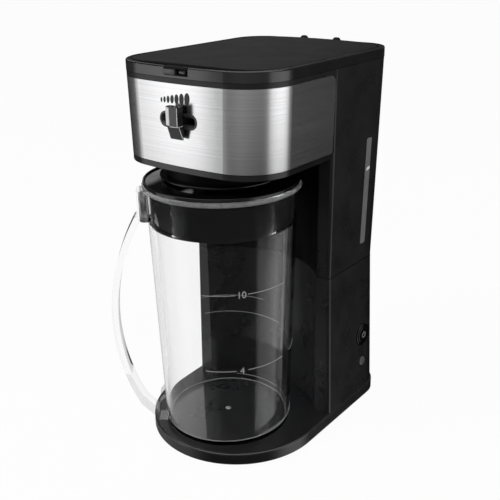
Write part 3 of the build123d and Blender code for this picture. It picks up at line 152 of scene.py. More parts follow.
def blend(tree, share, under, over):
    """The over shader shows by share, and the under shader for the rest."""
    mix = tree.nodes.new("ShaderNodeMixShader")
    tree.links.new(share, mix.inputs["Fac"])
    tree.links.new(under, mix.inputs[1])
    tree.links.new(over, mix.inputs[2])
    return mix.outputs["Shader"]


def extra_shader(tree, colour, roughness, specular=0.5):
    shader = tree.nodes.new("ShaderNodeBsdfPrincipled")
    shader.inputs["Base Color"].default_value = (*colour, 1)
    shader.inputs["Roughness"].default_value = roughness
    shader.inputs["Specular IOR Level"].default_value = specular
    return shader.outputs["BSDF"]


def open_air(tree, colour):
    shader = tree.nodes.new("ShaderNodeBsdfTransparent")
    shader.inputs["Color"].default_value = (*colour, 1)
    return shader.outputs["BSDF"]


def surface_of(tree):
    return tree.nodes["Material Output"].inputs["Surface"]


def within(tree, zone):
    """1 between a zone's two levels and nearer than its reach to the jug's axis, 0 elsewhere."""
    low, high, reach = zone
    split = tree.nodes.new("ShaderNodeSeparateXYZ")
    tree.links.new(object_pattern(tree, (1, 1, 1)), split.inputs[0])
    off_axis = calculate(tree, "SUBTRACT", split.outputs["Y"], jug_axis_y)
    square_x = calculate(tree, "MULTIPLY", split.outputs["X"], split.outputs["X"])
    square_y = calculate(tree, "MULTIPLY", off_axis, off_axis)
    near = calculate(tree, "LESS_THAN", calculate(tree, "ADD", square_x, square_y), reach * reach)
    above = calculate(tree, "GREATER_THAN", split.outputs["Z"], low)
    below = calculate(tree, "LESS_THAN", split.outputs["Z"], high)
    return calculate(tree, "MULTIPLY", near, calculate(tree, "MULTIPLY", above, below))


# ---------------------------------------------------------------- finishes
def moulded(name, tone, roughness, grain=0.25, specular=0.5):
    """Moulded plastic: a fine spark-eroded grain with slightly cloudy gloss."""
    material, tree, shader = new_material(name)
    cloud = noise(tree, object_pattern(tree, (1, 1, 1)), 38)
    tree.links.new(spread(tree, cloud, roughness - 0.05, roughness + 0.05), shader.inputs["Roughness"])
    dark = tuple(0.92 * c for c in tone)
    light = tuple(1.08 * c for c in tone)
    tree.links.new(two_tones(tree, spread(tree, cloud, 0, 1), dark, light), shader.inputs["Base Color"])
    shader.inputs["Specular IOR Level"].default_value = specular
    fine = noise(tree, object_pattern(tree, (1, 1, 1)), 2600, 2.0)
    relief(tree, shader, fine, grain, 0.00004)
    return material


def brushed(name, tone, roughness):
    """Steel sheet brushed from side to side: long level scratches that break the reflection upward."""
    material, tree, shader = new_material(name)
    shader.inputs["Metallic"].default_value = 1.0
    line = noise(tree, object_pattern(tree, (9, 9, 5200)), 1.0, 4.0, 0.7)
    broad = noise(tree, object_pattern(tree, (3, 3, 900)), 1.0, 2.0)
    tree.links.new(spread(tree, line, roughness - 0.05, roughness + 0.06), shader.inputs["Roughness"])
    dark = tuple(0.90 * c for c in tone)
    tree.links.new(two_tones(tree, spread(tree, broad, 0, 1), dark, tone), shader.inputs["Base Color"])
    relief(tree, shader, line, 0.12, 0.00003)
    return material


def polished(name, tone, roughness):
    material, tree, shader = new_material(name)
    shader.inputs["Metallic"].default_value = 1.0
    haze = noise(tree, object_pattern(tree, (1, 1, 1)), 120)
    tree.links.new(spread(tree, haze, roughness, roughness + 0.05), shader.inputs["Roughness"])
    shader.inputs["Base Color"].default_value = (*tone, 1)
    return material


def woven_mesh(name, tone):
    material, tree, shader = new_material(name)
    shader.inputs["Base Color"].default_value = (*tone, 1)
    shader.inputs["Roughness"].default_value = 0.5
    weave = tree.nodes.new("ShaderNodeTexWave")
    weave.inputs["Scale"].default_value = 700
    tree.links.new(object_pattern(tree, (1, 1, 1)), weave.inputs["Vector"])
    relief(tree, shader, weave.outputs["Fac"], 0.6, 0.0002)
    return material


def clear_plastic(name, thick=None, faint=None):
    """Clear moulded plastic: it lets light and shadow through and has faint flow marks.

    The second argument is a zone with a tone and a share: there a tone is blended in, a light tone as a
    painted highlight and a dark tone as painted shade.
    faint is a zone with a share: there it hardly bends the view and hardly shines.
    """
    material, tree, shader = new_material(name)
    shader.inputs["Base Color"].default_value = (1, 1, 1, 1)
    shader.inputs["Transmission Weight"].default_value = 1.0
    shader.inputs["IOR"].default_value = 1.33
    flow = noise(tree, object_pattern(tree, (1, 1, 0.25)), 24)
    tree.links.new(spread(tree, flow, 0.0, 0.02), shader.inputs["Roughness"])
    relief(tree, shader, flow, 0.02, 0.0006)
    surface = shader.outputs["BSDF"]
    if thick is not None:
        zone, tone, share = thick
        grain = noise(tree, object_pattern(tree, (1, 1, 0.35)), 260)
        streaks = spread(tree, grain, 0.55 * share, 1.3 * share)
        # painted light and shade: a light tone paints a highlight, a dark tone paints shade
        painted_tone = extra_shader(tree, (tone, tone, tone), 0.12)
        surface = blend(tree, calculate(tree, "MULTIPLY", within(tree, zone), streaks), surface, painted_tone)
    if faint is not None:
        zone, share = faint
        open_view = open_air(tree, (0.97, 0.97, 0.97))
        surface = blend(tree, calculate(tree, "MULTIPLY", within(tree, zone), share), surface, open_view)
    rays = tree.nodes.new("ShaderNodeLightPath")
    lit_through = blend(tree, rays.outputs["Is Shadow Ray"], surface, open_air(tree, (0.96, 0.97, 0.97)))
    tree.links.new(lit_through, surface_of(tree))
    return material


def second_finish(material, zone, colour, roughness, specular):
    """The same plastic with another finish inside a zone."""
    tree = material.node_tree
    first = tree.nodes["Principled BSDF"].outputs["BSDF"]
    second = extra_shader(tree, colour, roughness, specular)
    tree.links.new(blend(tree, within(tree, zone), first, second), surface_of(tree))
    return material


def painted_shade_inside(material, zone):
    """The same plastic, dull and darker inside a zone, where it faces the jug from close by: painted shade in
    the bay and under the head.
    """
    return second_finish(material, zone, (0.002, 0.002, 0.0022), 0.5, 0.1)


# ---------------------------------------------------------------- finishes of the CAD pieces
finishes = {
    "black": moulded("body_black", (0.010, 0.010, 0.0105), 0.30, 0.15, 0.4),
    "gloss_black": moulded("gloss_black", (0.004, 0.004, 0.0045), 0.10, 0.03, 0.5),
    "dark_grey": moulded("lid_grey", (0.013, 0.013, 0.0138), 0.45, 0.3, 0.04),
    "steel": brushed("brushed_steel", (0.80, 0.80, 0.81), 0.21),
    "chrome": polished("chrome", (0.86, 0.86, 0.87), 0.06),
    "clear": clear_plastic("clear_plastic"),
    "lens": moulded("lamp_lens", (0.42, 0.43, 0.44), 0.25, 0.05),
    "rubber": moulded("foot_rubber", (0.018, 0.018, 0.018), 0.75, 0.6),
    "hose": moulded("silicone_hose", (0.60, 0.60, 0.56), 0.45),
    "aluminium": moulded("cast_aluminium", (0.45, 0.45, 0.46), 0.5, 0.9),
    "spring_steel": polished("spring_wire", (0.70, 0.70, 0.72), 0.2),
    "screw_steel": polished("screw_steel", (0.55, 0.55, 0.57), 0.3),
    "mesh": woven_mesh("filter_weave", (0.40, 0.39, 0.36)),
    "white": moulded("white_plastic", (0.72, 0.72, 0.70), 0.5),
}
# painted shade: near-black for the collar under the head and the back of the latch's pocket
underside = moulded("shaded_black", (0.002, 0.002, 0.0022), 0.45, 0.15, 0.12)
# the lever's inlay and beads: a real trim whose shine is painted as a light diffuse grey
trim_with_painted_shine = moulded("trim_with_painted_shine", (0.78, 0.78, 0.79), 0.35, 0.1)
housing_black = moulded("housing_black", (0.010, 0.010, 0.0105), 0.30, 0.15, 0.4)
base_black = moulded("base_black", (0.010, 0.010, 0.0105), 0.30, 0.15, 0.4)
trim_gloss = moulded("trim_gloss", (0.008, 0.008, 0.0085), 0.18, 0.06, 0.6)
own_finishes = {
    "top_frame": moulded("frame_grey", (0.010, 0.010, 0.011), 0.16, 0.08, 0.8),
    # painted shine on the lever's trim
    "lever_inlay": trim_with_painted_shine,
    "lever_bezel": moulded("recess_grey", (0.045, 0.045, 0.046), 0.30, 0.1, 0.5),
    "strength_lever": moulded("lever_black", (0.018, 0.018, 0.0185), 0.22, 0.05, 0.6),
    "sight_window": moulded("window_haze", (0.15, 0.15, 0.152), 0.30, 0.05, 0.3),
    "switch_bezel": finishes["gloss_black"],
    "indicator_lens": moulded("lens_smoke", (0.10, 0.10, 0.102), 0.12, 0.03),
    # painted shade on the bay wall behind the jug
    "upper_housing": painted_shade_inside(housing_black, bay_wall),
    "base_housing": second_finish(base_black, base_edge, (0.010, 0.010, 0.011), 0.14, 1.0),
    # painted shade under the head
    "basket_collar": underside,
    # painted shade under the head
    "head_floor": painted_shade_inside(trim_gloss, head_underside),
    # the jug's rim carries a painted highlight
    "jug": clear_plastic("clear_jug", (jug_rim, 0.45, 0.26), (jug_beside_skirt, 0.70)),
    # the handle's bracket is painted shade
    "jug_handle": clear_plastic("clear_handle", (handle_bracket, 0.04, 0.72), (handle_foot, 0.80)),
}
for part in frame["record"]["subparts"]:
    name = part["node"]
    nodes[name].data.materials.clear()
    nodes[name].data.materials.append(own_finishes.get(name, finishes[part["material_slot"]]))

# ---------------------------------------------------------------- finishes of the pieces made here
mark_ink = moulded("mark_ink", (0.035, 0.035, 0.037), 0.5, 0.1)
frosting = moulded("frosted_marks", (0.32, 0.32, 0.32), 0.5, 0.1)
# painted highlight: a light grey for the rings on the jug's floor and foot and for the gate mark's dome
painted_highlight_grey = moulded("painted_highlight_grey", (0.20, 0.20, 0.20), 0.25, 0.05)
lid_gloss = moulded("lid_gloss", (0.004, 0.004, 0.0045), 0.12, 0.03, 0.5)
lid_matt = moulded("lid_matt", (0.010, 0.010, 0.0105), 0.6, 0.15, 0.0)
latch_grey = moulded("latch_grey", (0.018, 0.018, 0.019), 0.25, 0.1, 0.8)
sign_paint = moulded("sign_paint", (0.30, 0.30, 0.30), 0.4, 0.1)


# ---------------------------------------------------------------- ways to make a piece
def add_piece(name, mesh, body):
    """Puts a finished mesh in the scene as a piece that moves with a body."""
    piece = bpy.data.objects.new(name, mesh)
    bpy.context.scene.collection.objects.link(piece)
    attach(piece, body)
    return piece


def finished_mesh(name, seed):
    """What a seed object grows into, as a plain mesh. The seed is then removed."""
    bpy.context.scene.collection.objects.link(seed)
    mesh = bpy.data.meshes.new_from_object(seed.evaluated_get(bpy.context.evaluated_depsgraph_get()))
    mesh.name = name
    bpy.data.objects.remove(seed)
    return mesh


def closed_mesh(name, work, finish, sharp=None):
    """A closed form as a mesh with its faces outwards: flat, or smooth up to a sharp angle in degrees."""
    bmesh.ops.recalc_face_normals(work, faces=work.faces)
    mesh = bpy.data.meshes.new(name)
    work.to_mesh(mesh)
    work.free()
    if sharp is not None:
        for face in mesh.polygons:
            face.use_smooth = True
        mesh.set_sharp_from_angle(angle=radians(sharp))
    mesh.materials.append(finish)
    return mesh


def start_tree(name, inputs):
    """A Geometry Nodes tree with named inputs of the given kinds, and one for its finish."""
    tree = bpy.data.node_groups.new(name, "GeometryNodeTree")
    identifiers = {}
    for label, kind in (*inputs.items(), ("Finish", "NodeSocketMaterial")):
        identifiers[label] = tree.interface.new_socket(label, in_out="INPUT", socket_type=kind).identifier
    tree.interface.new_socket("Geometry", in_out="OUTPUT", socket_type="NodeSocketGeometry")
    return tree, identifiers, tree.nodes.new("NodeGroupInput").outputs


def end_tree(tree, given, geometry):
    """Makes the copies real and gives them the finish."""
    real = tree.nodes.new("GeometryNodeRealizeInstances")
    tree.links.new(geometry, real.inputs[0])
    paint = tree.nodes.new("GeometryNodeSetMaterial")
    tree.links.new(real.outputs[0], paint.inputs[0])
    tree.links.new(given["Finish"], paint.inputs["Material"])
    out = tree.nodes.new("NodeGroupOutput")
    tree.links.new(paint.outputs[0], out.inputs[0])


def swept(tree, path, wire_radius, resolution):
    """A round wire along a curve."""
    ring = tree.nodes.new("GeometryNodeCurvePrimitiveCircle")
    ring.inputs["Resolution"].default_value = resolution
    tree.links.new(wire_radius, ring.inputs["Radius"])
    wire = tree.nodes.new("GeometryNodeCurveToMesh")
    wire.inputs["Fill Caps"].default_value = True
    tree.links.new(path, wire.inputs["Curve"])
    tree.links.new(ring.outputs["Curve"], wire.inputs["Profile Curve"])
    return wire.outputs[0]


def moved(tree, geometry, shift, turn=None):
    node = tree.nodes.new("GeometryNodeTransform")
    tree.links.new(geometry, node.inputs["Geometry"])
    tree.links.new(shift, node.inputs["Translation"])
    if turn is not None:
        tree.links.new(turn, node.inputs["Rotation"])
    return node.outputs[0]


def vector(tree, x=0.0, y=0.0, z=0.0):
    """A vector from numbers and sockets."""
    node = tree.nodes.new("ShaderNodeCombineXYZ")
    for socket, value in zip(node.inputs, (x, y, z)):
        if isinstance(value, (int, float)):
            socket.default_value = value
        else:
            tree.links.new(value, socket)
    return node.outputs[0]


def grown_piece(name, grower, sizes, finish, body):
    """Runs a tree on an empty mesh and keeps what it grows."""
    tree, identifiers = grower
    seed = bpy.data.objects.new(name + "_seed", bpy.data.meshes.new(name + "_seed"))
    modifier = seed.modifiers.new("grow", "NODES")
    modifier.node_group = tree
    for label, value in (*sizes.items(), ("Finish", finish)):
        modifier[identifiers[label]] = value
    return add_piece(name, finished_mesh(name, seed), body)


# ---------------------------------------------------------------- oval marks on the steel, one rule for all
def strength_marks_tree():
    number = "NodeSocketFloat"
    inputs = dict.fromkeys(("First", "Step", "Step growth", "Width", "Width growth"), number)
    inputs.update(dict.fromkeys(("Height", "Height growth", "Foot", "Lean"), number), Count="NodeSocketInt")
    tree, identifiers, given = start_tree("strength_marks", inputs)
    index = tree.nodes.new("GeometryNodeInputIndex").outputs[0]
    step = calculate(tree, "MULTIPLY_ADD", index, given["Step growth"], given["Step"])
    across = calculate(tree, "MULTIPLY_ADD", step, index, given["First"])
    height = calculate(tree, "MULTIPLY_ADD", index, given["Height growth"], given["Height"])
    width = calculate(tree, "MULTIPLY_ADD", index, given["Width growth"], given["Width"])
    level = calculate(tree, "MULTIPLY_ADD", height, 0.5, given["Foot"])
    square = calculate(tree, "MULTIPLY", across, across)
    sunk = 0.00003
    depth = calculate(tree, "MULTIPLY_ADD", square, 0.5 / front_radius, front_y - sunk)
    points = tree.nodes.new("GeometryNodePoints")
    tree.links.new(given["Count"], points.inputs["Count"])
    tree.links.new(vector(tree, across, depth, level), points.inputs["Position"])
    oval = tree.nodes.new("GeometryNodeMeshCircle")
    oval.fill_type = "NGON"
    oval.inputs["Vertices"].default_value = 40
    oval.inputs["Radius"].default_value = 0.5
    copies = tree.nodes.new("GeometryNodeInstanceOnPoints")
    tree.links.new(points.outputs[0], copies.inputs["Points"])
    tree.links.new(oval.outputs[0], copies.inputs["Instance"])
    facing = calculate(tree, "DIVIDE", across, front_radius)
    tree.links.new(vector(tree, pi / 2, given["Lean"], facing), copies.inputs["Rotation"])
    tree.links.new(vector(tree, width, height, 1), copies.inputs["Scale"])
    real = tree.nodes.new("GeometryNodeRealizeInstances")
    tree.links.new(copies.outputs[0], real.inputs[0])
    thick = tree.nodes.new("GeometryNodeExtrudeMesh")
    thick.inputs["Offset Scale"].default_value = 0.00008
    thick.inputs["Individual"].default_value = False
    tree.links.new(real.outputs[0], thick.inputs["Mesh"])
    end_tree(tree, given, thick.outputs["Mesh"])
    return tree, identifiers


def make_strength_marks():
    sizes = {
        "Count": 7,
        "First": -0.0159,
        "Step": 0.0031,
        "Step growth": 0.0002,
        "Width": 0.0018,
        "Width growth": 0.00053,
        "Height": 0.0036,
        "Height growth": 0.00092,
        "Foot": 0.3027,
        "Lean": radians(4),
    }
    grown_piece("strength_marks", strength_marks_tree(), sizes, mark_ink, "machine")


# ---------------------------------------------------------------- raised lines and figures on the jug, and painted highlight rings on its floor and foot
def line_tree():
    inputs = dict.fromkeys(("Level", "Radius", "First angle", "Sweep", "Thickness"), "NodeSocketFloat")
    tree, identifiers, given = start_tree("measure_line", inputs)
    arc = tree.nodes.new("GeometryNodeCurveArc")
    arc.mode = "RADIUS"
    arc.inputs["Resolution"].default_value = 40
    tree.links.new(given["Radius"], arc.inputs["Radius"])
    tree.links.new(given["First angle"], arc.inputs["Start Angle"])
    tree.links.new(given["Sweep"], arc.inputs["Sweep Angle"])
    round_jug = moved(tree, arc.outputs["Curve"], vector(tree, 0.0, jug_axis_y, given["Level"]))
    end_tree(tree, given, swept(tree, round_jug, given["Thickness"], 8))
    return tree, identifiers


def wall_radius(level):
    return jug_foot_radius + jug_wall_slope * (level - jug_bottom)


def jug_line(name, level, first, last, thickness, radius, finish):
    """A raised line round the jug between two angles in degrees."""
    sizes = {
        "Level": level,
        "Radius": radius,
        "First angle": radians(first),
        "Sweep": radians(last - first),
        "Thickness": thickness,
    }
    grown_piece(name, jug_lines, sizes, finish, "pitcher")


def measure_line(name, level, first, last, thickness=0.00028):
    jug_line(name, level, first, last, thickness, wall_radius(level), frosting)


def measure_figure(name, text, level, angle, height):
    """A raised figure wrapped round the jug's wall."""
    capital_share = 0.7
    curve = bpy.data.curves.new(name, "FONT")
    curve.body = text
    curve.size = height / capital_share
    curve.align_x = "CENTER"
    curve.extrude = 0.00025
    mesh = finished_mesh(name, bpy.data.objects.new(name + "_seed", curve))
    radius = wall_radius(level)
    for vertex in mesh.vertices:
        across, up, out = vertex.co
        turn = radians(angle) + across / radius
        reach = radius + out
        vertex.co = (
            reach * cos(turn),
            jug_axis_y + reach * sin(turn),
            level - height / 2 + up,
        )
    mesh.materials.clear()
    mesh.materials.append(frosting)
    add_piece(name, mesh, "pitcher")


def make_measures():
    upper_level = 0.1555
    lower_level = 0.0865
    between_level = 0.103
    figure_angle = -38
    figure_height = 0.0056
    left_run = (-68, -43)
    right_run = (-33, 3)
    far_thickness = 0.00022

    def line_each_side(name, level):
        measure_line(name + "_left", level, *left_run)
        measure_line(name + "_right", level, *right_run)

    line_each_side("line_10", upper_level)
    measure_figure("figure_10", "10", upper_level, figure_angle, figure_height)
    line_each_side("line_4", lower_level)
    measure_line("line_4_far", lower_level, 16, 150, far_thickness)
    measure_line("line_6_far", between_level, 92, 152, far_thickness)
    measure_figure("figure_4", "4", lower_level, figure_angle, figure_height)
    # painted highlights: light rings where the floor's inner corner and the foot's edge catch the light
    jug_line("floor_highlight_ring", 0.0163, 0, 360, 0.00040, 0.0527, painted_highlight_grey)
    jug_line("foot_highlight_ring", 0.0200, -20, 120, 0.00035, 0.0560, painted_highlight_grey)


def make_gate_mark():
    """The small dome in the middle of the jug's floor, where the moulding was cut from its feed; its light
    grey tone paints the highlight on it.
    """
    radius = 0.0025
    height = 0.0011
    floor_level = 0.0160
    work = bmesh.new()
    bmesh.ops.create_uvsphere(work, u_segments=32, v_segments=16, radius=1)
    for vertex in work.verts:
        x, y, z = vertex.co
        vertex.co = (radius * x, jug_axis_y + radius * y, floor_level + height * z)
    add_piece("gate_mark", closed_mesh("gate_mark", work, painted_highlight_grey, 180), "pitcher")


# ---------------------------------------------------------------- jug lid and the lip it turns under
def turned(name, profile, angles, finish, openings=()):
    """A closed outline of (radius, level) turned about the jug's axis.

    Each opening is two runs of the outline, one on each side of a wall, and the steps between angles where
    the wall is cut right through between them.
    """
    work = bmesh.new()
    rings = []
    for angle in angles:
        turn = radians(angle)
        places = [(r * cos(turn), jug_axis_y + r * sin(turn), level) for r, level in profile]
        rings.append([work.verts.new(place) for place in places])
    cut = {step: (near, far) for near, far, steps in openings for step in steps}
    for step, ring in enumerate(rings):
        following = rings[(step + 1) % len(rings)]
        for point in range(len(profile)):
            after = (point + 1) % len(profile)
            if point in cut.get(step, ()):
                continue
            work.faces.new((ring[point], following[point], following[after], ring[after]))
        if step in cut:
            near, far = cut[step]
            for one, other in ((near, far + 1), (near + 1, far)):
                work.faces.new((ring[one], following[one], following[other], ring[other]))
            for side in (ring, following):
                work.faces.new((side[near], side[near + 1], side[far], side[far + 1]))
    return closed_mesh(name, work, finish, 32)


def eased(centre, radius, first, last, steps=6):
    """Points round a bend between two angles in degrees, for a moulding's softened edge."""
    turns = [radians(first + (last - first) * step / steps) for step in range(steps + 1)]
    return [(centre[0] + radius * cos(turn), centre[1] + radius * sin(turn)) for turn in turns]


def slotted_angles(middles, half, step):
    """Angles once round, with both sides of each slot among them, and where each slot starts."""
    angles = []
    starts = []
    turn = middles[-1] + half + 2
    while turn < middles[0] - half + 360 - 1:
        angles.append(turn)
        turn += step
    for middle in middles:
        starts.append(len(angles))
        angles += [middle + 360 - half, middle + 360 + half]
    return angles, starts


def make_jug_lid():
    flange_bottom = 0.2335
    flange_top = 0.2361
    flange_radius = 0.0644
    flange_round = 0.0008
    plate_top = 0.2346
    wall = 0.0021
    skirt_bottom = 0.1995
    skirt_top_radius = 0.0599
    skirt_foot_radius = 0.0589
    slot_bottom = 0.2045
    slot_top = 0.2185
    slot_count = 7
    slot_pitch = 6
    slot_half_angle = 1.271
    dish_edge = 0.0480
    dish_floor = 0.2237
    hole_radius = 0.0032
    ring_radius = 0.0060
    ring_top = dish_floor + 0.0030
    ring_round = 0.0006

    def skirt(level):
        share = (level - skirt_bottom) / (flange_bottom - skirt_bottom)
        return skirt_foot_radius + share * (skirt_top_radius - skirt_foot_radius)

    dish = [
        (dish_edge - 0.0008, plate_top - 0.0003),
        (dish_edge - 0.0020, plate_top - 0.0016),
        (dish_edge - 0.0048, dish_floor + 0.0040),
        (dish_edge - 0.0066, dish_floor + 0.0016),
        (dish_edge - 0.0092, dish_floor + 0.0005),
        (dish_edge - 0.0130, dish_floor),
    ]
    profile = [(flange_radius, flange_bottom)]
    profile += eased((flange_radius - flange_round, flange_top - flange_round), flange_round, 0, 180)
    profile += [(flange_radius - 0.0020, plate_top + 0.0002), (flange_radius - 0.0023, plate_top)]
    profile += [(flange_radius - 0.0028, plate_top), (dish_edge + 0.0006, plate_top)]
    profile += [(dish_edge, plate_top - 0.0001)]
    profile += dish
    profile += [(ring_radius, dish_floor)]
    profile += eased((ring_radius - 0.0007, ring_top - 0.0005), ring_round, 20, 160, 4)
    profile += [(ring_radius - 0.0014, dish_floor), (hole_radius, dish_floor)]
    profile += [(hole_radius, dish_floor - wall)]
    profile += [(radius - 0.0004, level - wall) for radius, level in reversed(dish)]
    profile += [(dish_edge, plate_top - wall), (skirt(0.230) - wall, plate_top - wall)]
    inner_top = len(profile)
    profile += [(skirt(slot_top) - wall, slot_top), (skirt(slot_bottom) - wall, slot_bottom)]
    profile += [(skirt_foot_radius - wall, skirt_bottom), (skirt_foot_radius, skirt_bottom)]
    outer_bottom = len(profile)
    profile += [(skirt(slot_bottom), slot_bottom), (skirt(slot_top), slot_top)]
    profile += [(skirt_top_radius, flange_bottom)]

    middles = [spout_angle + slot_pitch * (number - slot_count // 2) for number in range(slot_count)]
    angles, slots = slotted_angles(middles, slot_half_angle, 2.5)
    mesh = turned("jug_lid_shell", profile, angles, lid_matt, [(inner_top, outer_bottom, slots)])
    mesh.materials.append(lid_gloss)
    for face in mesh.polygons:
        on_flange = face.center.z > flange_bottom + 0.0001
        in_dish = face.center.z > dish_floor - 0.0022 and face.normal.z > 0.1
        if on_flange or in_dish:
            face.material_index = 1
    lid = add_piece("jug_lid_shell", mesh, "pitcher_lid")
    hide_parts("jug_lid")


def make_collar_lip():
    top = 0.2408
    bottom = 0.2386
    reach = 0.0502
    bore_top = 0.0445
    bore_bottom = 0.0440
    soft = 0.0009
    profile = [(bore_top, top), (reach - soft, top)]
    profile += eased((reach - soft, top - soft), soft, 80, 10, 4)
    profile += eased((reach - soft, bottom + soft), soft, 0, -90, 6)
    profile += [(bore_bottom, bottom), (bore_bottom, bottom + 0.0010)]
    mesh = turned("collar_lip", profile, range(0, 360, 3), lid_gloss)
    add_piece("collar_lip", mesh, "machine")


# ---------------------------------------------------------------- latch, lever beads and marks
def block(name, low, high, soft, finish):
    """A block between two corners on the machine, its edges rounded by soft."""
    work = bmesh.new()
    bmesh.ops.create_cube(work, size=1)
    for vertex in work.verts:
        vertex.co = [low[i] + (vertex.co[i] + 0.5) * (high[i] - low[i]) for i in range(3)]
    bmesh.ops.bevel(work, geom=work.edges[:], offset=soft, segments=3, affect="EDGES", profile=0.5)
    add_piece(name, closed_mesh(name, work, finish, 40), "machine")


def make_latch():
    """The catch under the lid's tongue: a flush tab on the left, a thumb pocket with a bump on the right; the
    pocket is a near-black sheet, painted shade in the notch.
    """
    block("latch_tab", (-0.0122, -0.0914, 0.3238), (-0.0006, -0.0882, 0.3281), 0.0004, latch_grey)
    # painted shade: a near-black sheet over the back of the notch
    block("latch_pocket", (-0.0003, -0.0888, 0.3236), (0.0114, -0.0881, 0.3281), 0.0002, underside)
    block("latch_bump", (0.0022, -0.0906, 0.3246), (0.0088, -0.0886, 0.3274), 0.0009, latch_grey)


def bead(name, runs, thickness, finish, body):
    """A thin round bead along each run of points."""
    curve = bpy.data.curves.new(name, "CURVE")
    curve.dimensions = "3D"
    curve.bevel_depth = thickness
    curve.bevel_resolution = 2
    curve.use_fill_caps = True
    for run in runs:
        line = curve.splines.new("POLY")
        line.points.add(len(run) - 1)
        for point, place in zip(line.points, run):
            point.co = (*place, 1)
    mesh = finished_mesh(name, bpy.data.objects.new(name + "_seed", curve))
    mesh.materials.clear()
    mesh.materials.append(finish)
    add_piece(name, mesh, body)


def make_lever_beads():
    """Bright beads on the lever's grip, down its right edge and round the step half way down: trim whose
    shine is painted as a light tone.
    """
    turn = radians(1.1)
    right = 0.0060
    left = -0.0012
    front = 0.0845
    low_front = front - 0.0020
    top = 0.3018
    step = 0.2876
    foot = 0.2776

    def at(across, out, level):
        return (
            across * cos(turn) + out * sin(turn),
            lever_pivot_y + across * sin(turn) - out * cos(turn),
            level,
        )

    runs = [
        [at(right, front, top), at(right, front, step)],
        [at(left, front, step), at(right, front, step), at(right, front - 0.0060, step)],
        [at(right, low_front, step - 0.0006), at(right, front - 0.0058, foot)],
    ]
    bead("lever_beads", runs, 0.00022, trim_with_painted_shine, "strength_selector")


def make_power_sign():
    """The usual on and off sign: a broken ring with an upright stroke."""
    low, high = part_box("power_button")
    x = 0.0776
    y = (low.y + high.y) / 2
    z = (low.z + high.z) / 2
    radius = 0.0027
    turns = [radians(degrees_round) for degrees_round in range(40, 321, 14)]
    ring = [(x, y + radius * sin(turn), z + radius * cos(turn)) for turn in turns]
    stroke = [(x, y, z + 0.0004), (x, y, z + 0.0036)]
    bead("power_sign", [ring, stroke], 0.0003, sign_paint, "button")


def make_full_mark():
    """A thin white patch on the sight window's outer face, at the level of a full tank: a mark whose
    highlight is painted white.
    """
    corners = ((0.0634, 0.2276), (0.0690, 0.2284), (0.0694, 0.2310), (0.0648, 0.2304))
    proud = Vector((0.0001, 0, 0))
    window = nodes["sight_window"].data
    tree = BVHTree.FromPolygons([v.co for v in window.vertices], [tuple(f.vertices) for f in window.polygons])
    outline = [tree.ray_cast(Vector((0.2, y, z)), Vector((-1, 0, 0)))[0] for y, z in corners]
    work = bmesh.new()
    back = [work.verts.new(place - proud) for place in outline]
    front = [work.verts.new(place + proud) for place in outline]
    work.faces.new(front)
    work.faces.new(list(reversed(back)))
    for index in range(len(outline)):
        after = (index + 1) % len(outline)
        work.faces.new((back[index], back[after], front[after], front[index]))
    add_piece("full_mark", closed_mesh("full_mark", work, finishes["white"]), "machine")


# ---------------------------------------------------------------- springs, wound along their own axis
def spring_tree():
    inputs = dict.fromkeys(("Coil radius", "Wire radius", "Length", "Turns", "Tilt"), "NodeSocketFloat")
    inputs["Foot"] = "NodeSocketVector"
    tree, identifiers, given = start_tree("coil_spring", inputs)
    coil = tree.nodes.new("GeometryNodeCurveSpiral")
    coil.inputs["Resolution"].default_value = 28
    for socket in ("Start Radius", "End Radius"):
        tree.links.new(given["Coil radius"], coil.inputs[socket])
    tree.links.new(given["Length"], coil.inputs["Height"])
    tree.links.new(given["Turns"], coil.inputs["Rotations"])
    wire = swept(tree, coil.outputs[0], given["Wire radius"], 10)
    end_tree(tree, given, moved(tree, wire, given["Foot"], vector(tree, 0.0, given["Tilt"], 0.0)))
    return tree, identifiers


def wind_spring(name, joint, radius, turns):
    """A coil in place of the spring that a joint shortens towards the end that stays where it is."""
    wire = 0.00045
    rule = joints[joint]["deforming_nodes"][0]
    letter = rule["mode"].removeprefix("scale_")
    along = "xyz".index(letter)
    low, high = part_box(rule["node"])
    length = high[along] - low[along]
    foot = (low + high) / 2
    foot[along] = low[along] + wire
    sizes = {
        "Coil radius": radius,
        "Wire radius": wire,
        "Length": length - 2 * wire,
        "Turns": turns,
        "Foot": tuple(foot),
        "Tilt": pi / 2 if letter == "x" else 0.0,
    }
    spring = grown_piece(name, springs, sizes, finishes["spring_steel"], "machine")
    anchor = list(foot)
    anchor[along] = rule["fixed_end_" + letter + "_m"]
    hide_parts(rule["node"])
    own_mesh(spring)


# ---------------------------------------------------------------- floor, light and camera
camera_place = (0.399, -0.5245, 0.4153)
camera_bearing = radians(37.544)
camera_pitch = radians(21.358)
camera_roll = radians(-0.941)
# The white backdrop that reflections show stands behind the machine as the main view sees it. It is fixed
# in the scene and stays there in every other view.
level_ahead = Vector((-sin(camera_bearing), cos(camera_bearing), 0))
ahead = level_ahead * cos(camera_pitch) - Vector((0, 0, sin(camera_pitch)))


def straight_view(tree):
    """Two shares: what is seen directly or straight through clear plastic, and what is seen mirrored."""
    rays = tree.nodes.new("ShaderNodeLightPath")
    seen = calculate(tree, "MAXIMUM", rays.outputs["Is Camera Ray"], rays.outputs["Is Transmission Ray"])
    mirrored = calculate(tree, "MINIMUM", rays.outputs["Glossy Depth"], 1.0)
    return calculate(tree, "SUBTRACT", seen, mirrored), mirrored


def distance_along(tree, direction_socket, direction):
    """How far a vector goes in a fixed direction."""
    node = tree.nodes.new("ShaderNodeVectorMath")
    node.operation = "DOT_PRODUCT"
    tree.links.new(direction_socket, node.inputs[0])
    node.inputs[1].default_value = direction
    return node.outputs["Value"]


